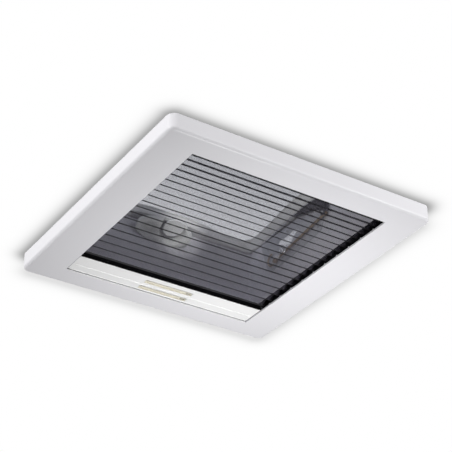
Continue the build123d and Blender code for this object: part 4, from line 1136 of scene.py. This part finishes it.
    def build_heads(self, side: int, count: int = 10) -> None:
        """Round heads of the guide clips: flattened half balls that stay clear of the bars' end shoes.

        A ring at rise angle a lies at the power 0.8 of sin a times the head's rise, and is cos a times its
        half width and half height.
        """
        low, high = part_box("guide_clips")
        turns = np.linspace(0.0, 2 * math.pi, 16, endpoint=False)
        rise = np.linspace(0.0, math.pi / 2, 6)[:, None]
        middle = (low.z + high.z) / 2
        margin = self.head_half[0]
        for i, y in enumerate(np.linspace(low.y + margin, high.y - margin, count)):
            points = np.stack([
                side * (high.x - self.head_rise * np.sin(rise) ** 0.8 + 0 * turns),
                y + self.head_half[0] * np.cos(rise) * np.cos(turns),
                middle + self.head_half[1] * np.cos(rise) * np.sin(turns),
            ], axis=-1)
            piece = grid_mesh(f"guide_clip_head_{'r' if side > 0 else 'l'}{i}", points, wrap_columns=True)
            place(piece, self.materials["clip_white"], "frame", "clip_white")

    def build(self, foot: np.ndarray) -> None:
        """Build every fitting on both sides.

        Args:
            foot: Points of the line where the lid's rim starts.
        """
        for side in (1, -1):
            self.build_hook(side)
            self.build_spring(side)
            self.build_plate(side)
            self.build_bead(side, foot)
            self.build_strip(side)
            self.build_heads(side)


# ---- stage


class Side(Enum):
    """The side from which a stage panel is seen."""

    ABOVE = 1.0
    BELOW = -1.0


@dataclass(frozen=True)
class SquareShade:
    """Soft shade on the ceiling round the frame's outline, moved by its centre."""

    centre: tuple
    width: float
    power: float
    amount: float


@dataclass(frozen=True)
class Lamp:
    """A lamp that the camera doesn't see: a square area lamp, or a soft-edged spot if it has a cone."""

    name: str
    place: tuple
    aim: tuple
    size: float
    power: float
    cone: float = 0.0

    def build(self) -> None:
        """Place the lamp so that it faces its aim."""
        data = bpy.data.lights.new(self.name, "SPOT" if self.cone else "AREA")
        if self.cone:
            data.spot_size = math.radians(self.cone)
            data.spot_blend = 1.0
            data.shadow_soft_size = self.size
        else:
            data.size = self.size
        data.energy = self.power
        lamp = bpy.data.objects.new(self.name, data)
        lamp.location = self.place
        way = Vector(self.aim) - Vector(self.place)
        lamp.rotation_euler = way.to_track_quat("-Z", "Y").to_euler()
        lamp.visible_camera = False
        bpy.context.scene.collection.objects.link(lamp)


LAMPS = (
    Lamp("left lamp", (-2.4, -0.2, 0.15), (0, 0, 0.02), 1.2, 41.0),
    Lamp("right lamp", (1.05, -1.7, 0.15), (0.1, -0.2, 0.02), 1.0, 26.0),
    Lamp("fill lamp", (0.14, 0.0, -0.577), (0.14, 0, 0), 0.2, 2.9),
    Lamp("top lamp", (-1.0, -0.6, 1.6), (0.1, 0, 0.1), 2.4, 14.0),
    Lamp("latch spot", (-0.06, -0.15, 0.06), (0.02, 0.152, 0.122), 10 * MM, 2.6, 19.0),
    Lamp("wall spot", (-0.11, -0.08, 0.05), (0.178, -0.10, 0.085), 10 * MM, 0.85, 80.0),
)


@dataclass
class Stage:
    """Floor, ceiling panel, lights, background and camera."""

    effects: Effects
    frame_half: float
    frame_radius: float = 13.0 * MM
    floor_half: float = 3.0
    ceiling_gap: float = 0.3 * MM
    hole_half: float = 0.2
    floor_lift: float = 0.8
    contact_reach: float = 0.12
    camera_place: tuple = (-1.0767, -1.6402, -1.1750)
    camera_turn: tuple = (33.52, 31.76, 0.815)
    film_width: float = 36.0
    lens: float = 112.06
    sky: float = 0.14
    near_shade: SquareShade = SquareShade((0.0, 0.0), 15.4 * MM, 1.6, 0.6)
    cast_shade: SquareShade = SquareShade((29.0 * MM, 49.0 * MM), 17.0 * MM, 1.5, 0.25)

    def panel_material(self, name: str, lift: float, contact: float, shades: tuple) -> bpy.types.Material:
        """One-sided pale panel that only the camera sees, evenly bright but for its soft shades.

        Args:
            name: Its name.
            lift: Its brightness.
            contact: Power of the shade close under the object.
            shades: Shades round the frame.

        Returns:
            The material.
        """
        material, graph, output = new_material(name)
        seen = graph.add("LightPath").outputs["Is Camera Ray"]
        strength = graph.math("MULTIPLY", seen, lift)
        if contact:
            near = graph.add("AmbientOcclusion", samples=16, Distance=self.contact_reach)
            under = graph.math("POWER", near.outputs["AO"], contact)
            strength = graph.math("MULTIPLY", strength, under)
        for shade in shades:
            open_share = graph.group(
                self.effects.shade, Centre=(*shade.centre, 0.0), Half=self.frame_half,
                Radius=self.frame_radius, Width=shade.width, Power=shade.power, Amount=shade.amount,
            )
            strength = graph.math("MULTIPLY", strength, open_share.outputs["Open"])
        glow = graph.add("Emission", Color=(1.0, 1.0, 1.0, 1.0), Strength=strength)
        behind = graph.add("NewGeometry").outputs["Backfacing"]
        clear = graph.add("BsdfTransparent")
        mixed = graph.add("MixShader", in_0=behind, in_1=glow.outputs[0], in_2=clear.outputs[0])
        graph.feed(output, "Surface", mixed.outputs[0])
        return material

    def panel(self, name: str, z: float, side: Side, hole: float, material) -> None:
        """Make a square panel with an optional square hole.

        Args:
            name: Its name.
            z: Its height.
            side: The side that it is seen from.
            hole: Half of the hole's side, or 0.
            material: Its material.
        """
        corners = np.array([(-1, -1), (1, -1), (1, 1), (-1, 1)], float)
        outer = np.column_stack([corners * self.floor_half, np.full(4, z)])
        inner = np.column_stack([corners * max(hole, MM), np.full(4, z)])
        quads = [(i, (i + 1) % 4, (i + 1) % 4 + 4, i + 4) for i in range(4)]
        if not hole:
            quads.append((4, 5, 6, 7))
        if side is Side.BELOW:
            quads = [quad[::-1] for quad in quads]
        mesh = bpy.data.meshes.new(name)
        mesh.from_pydata(np.concatenate([outer, inner]), [], quads)
        piece = bpy.data.objects.new(name, mesh)
        bpy.context.scene.collection.objects.link(piece)
        dress(piece, material)
        for ray in ("shadow", "diffuse", "glossy", "transmission"):
            setattr(piece, f"visible_{ray}", False)

    def build_panels(self, ceiling_z: float) -> None:
        """Place the floor under the object and the ceiling round it.

        Args:
            ceiling_z: Height of the back of the ceiling frame.
        """
        floor = self.panel_material("pale floor", self.floor_lift, 1.0, ())
        self.panel("floor", -0.5 * MM, Side.ABOVE, 0.0, floor)
        shades = (self.near_shade, self.cast_shade)
        ceiling = self.panel_material("pale ceiling", 1.0, 0.0, shades)
        self.panel("ceiling", ceiling_z + self.ceiling_gap, Side.BELOW, self.hole_half, ceiling)

    def build_world(self) -> None:
        """White for the camera, gloss and glass, and an even grey light on everything else."""
        world = bpy.data.worlds.new("studio")
        bpy.context.scene.world = world
        world.use_nodes = True
        graph = Graph(world.node_tree)
        path = graph.add("LightPath").outputs
        seen = graph.math("MAXIMUM", path["Is Camera Ray"], path["Is Glossy Ray"])
        seen = graph.math("MAXIMUM", seen, path["Is Transmission Ray"])
        strength = graph.math("MAXIMUM", seen, self.sky)
        background = graph.add("Background", Color=(1.0, 1.0, 1.0, 1.0), Strength=strength)
        output = graph.add("OutputWorld")
        graph.feed(output, "Surface", background.outputs[0])

    def build_lamps(self) -> None:
        """Lamps level with both near flanks, a fill below, a soft lamp above and two spots in the well."""
        for lamp in LAMPS:
            lamp.build()

    def build_camera(self) -> None:
        """Long lens from below the near corner, turned by heading, pitch and roll."""
        heading, pitch, roll = (math.radians(angle) for angle in self.camera_turn)
        ahead = math.cos(pitch)
        forward = Vector((math.sin(heading) * ahead, math.cos(heading) * ahead, math.sin(pitch)))
        level = Vector((math.cos(heading), -math.sin(heading), 0.0))
        up = level.cross(forward)
        right = level * math.cos(roll) - up * math.sin(roll)
        up = right.cross(forward)
        data = bpy.data.cameras.new("camera")
        data.sensor_width = self.film_width
        data.lens = self.lens
        camera = bpy.data.objects.new("camera", data)
        turn = Matrix((right, up, -forward)).transposed().to_4x4()
        camera.matrix_world = Matrix.Translation(self.camera_place) @ turn
        bpy.context.scene.collection.objects.link(camera)
        bpy.context.scene.camera = camera


def main() -> None:
    """Dress the CAD nodes, build the soft pieces and set the stage."""
    logging.basicConfig(level=logging.INFO, format="%(name)s: %(message)s")
    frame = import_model()
    effects = Effects()
    materials = {slot: finish.material(slot, effects) for slot, finish in FINISHES.items()}
    for part in frame["record"]["subparts"]:
        dress(frame["nodes"][part["node"]], materials[part["material_slot"]])
        log.info("%s: %s", part["node"], part["material_slot"])
    blinds = Blinds(materials)
    blinds.build_net()
    blinds.build_blackout()
    lid = Lid(materials)
    lid.build_rim()
    lid.build_tray()
    trims = Trims(materials)
    trims.build_lips()
    trims.build_cups()
    Fittings(materials).build(lid.foot())
    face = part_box("ceiling_frame")[1]
    stage = Stage(effects, face.x)
    stage.build_panels(face.z)
    stage.build_world()
    stage.build_lamps()
    stage.build_camera()
    bpy.context.scene.view_settings.view_transform = "Standard"


if __name__ == "__main__":
    main()
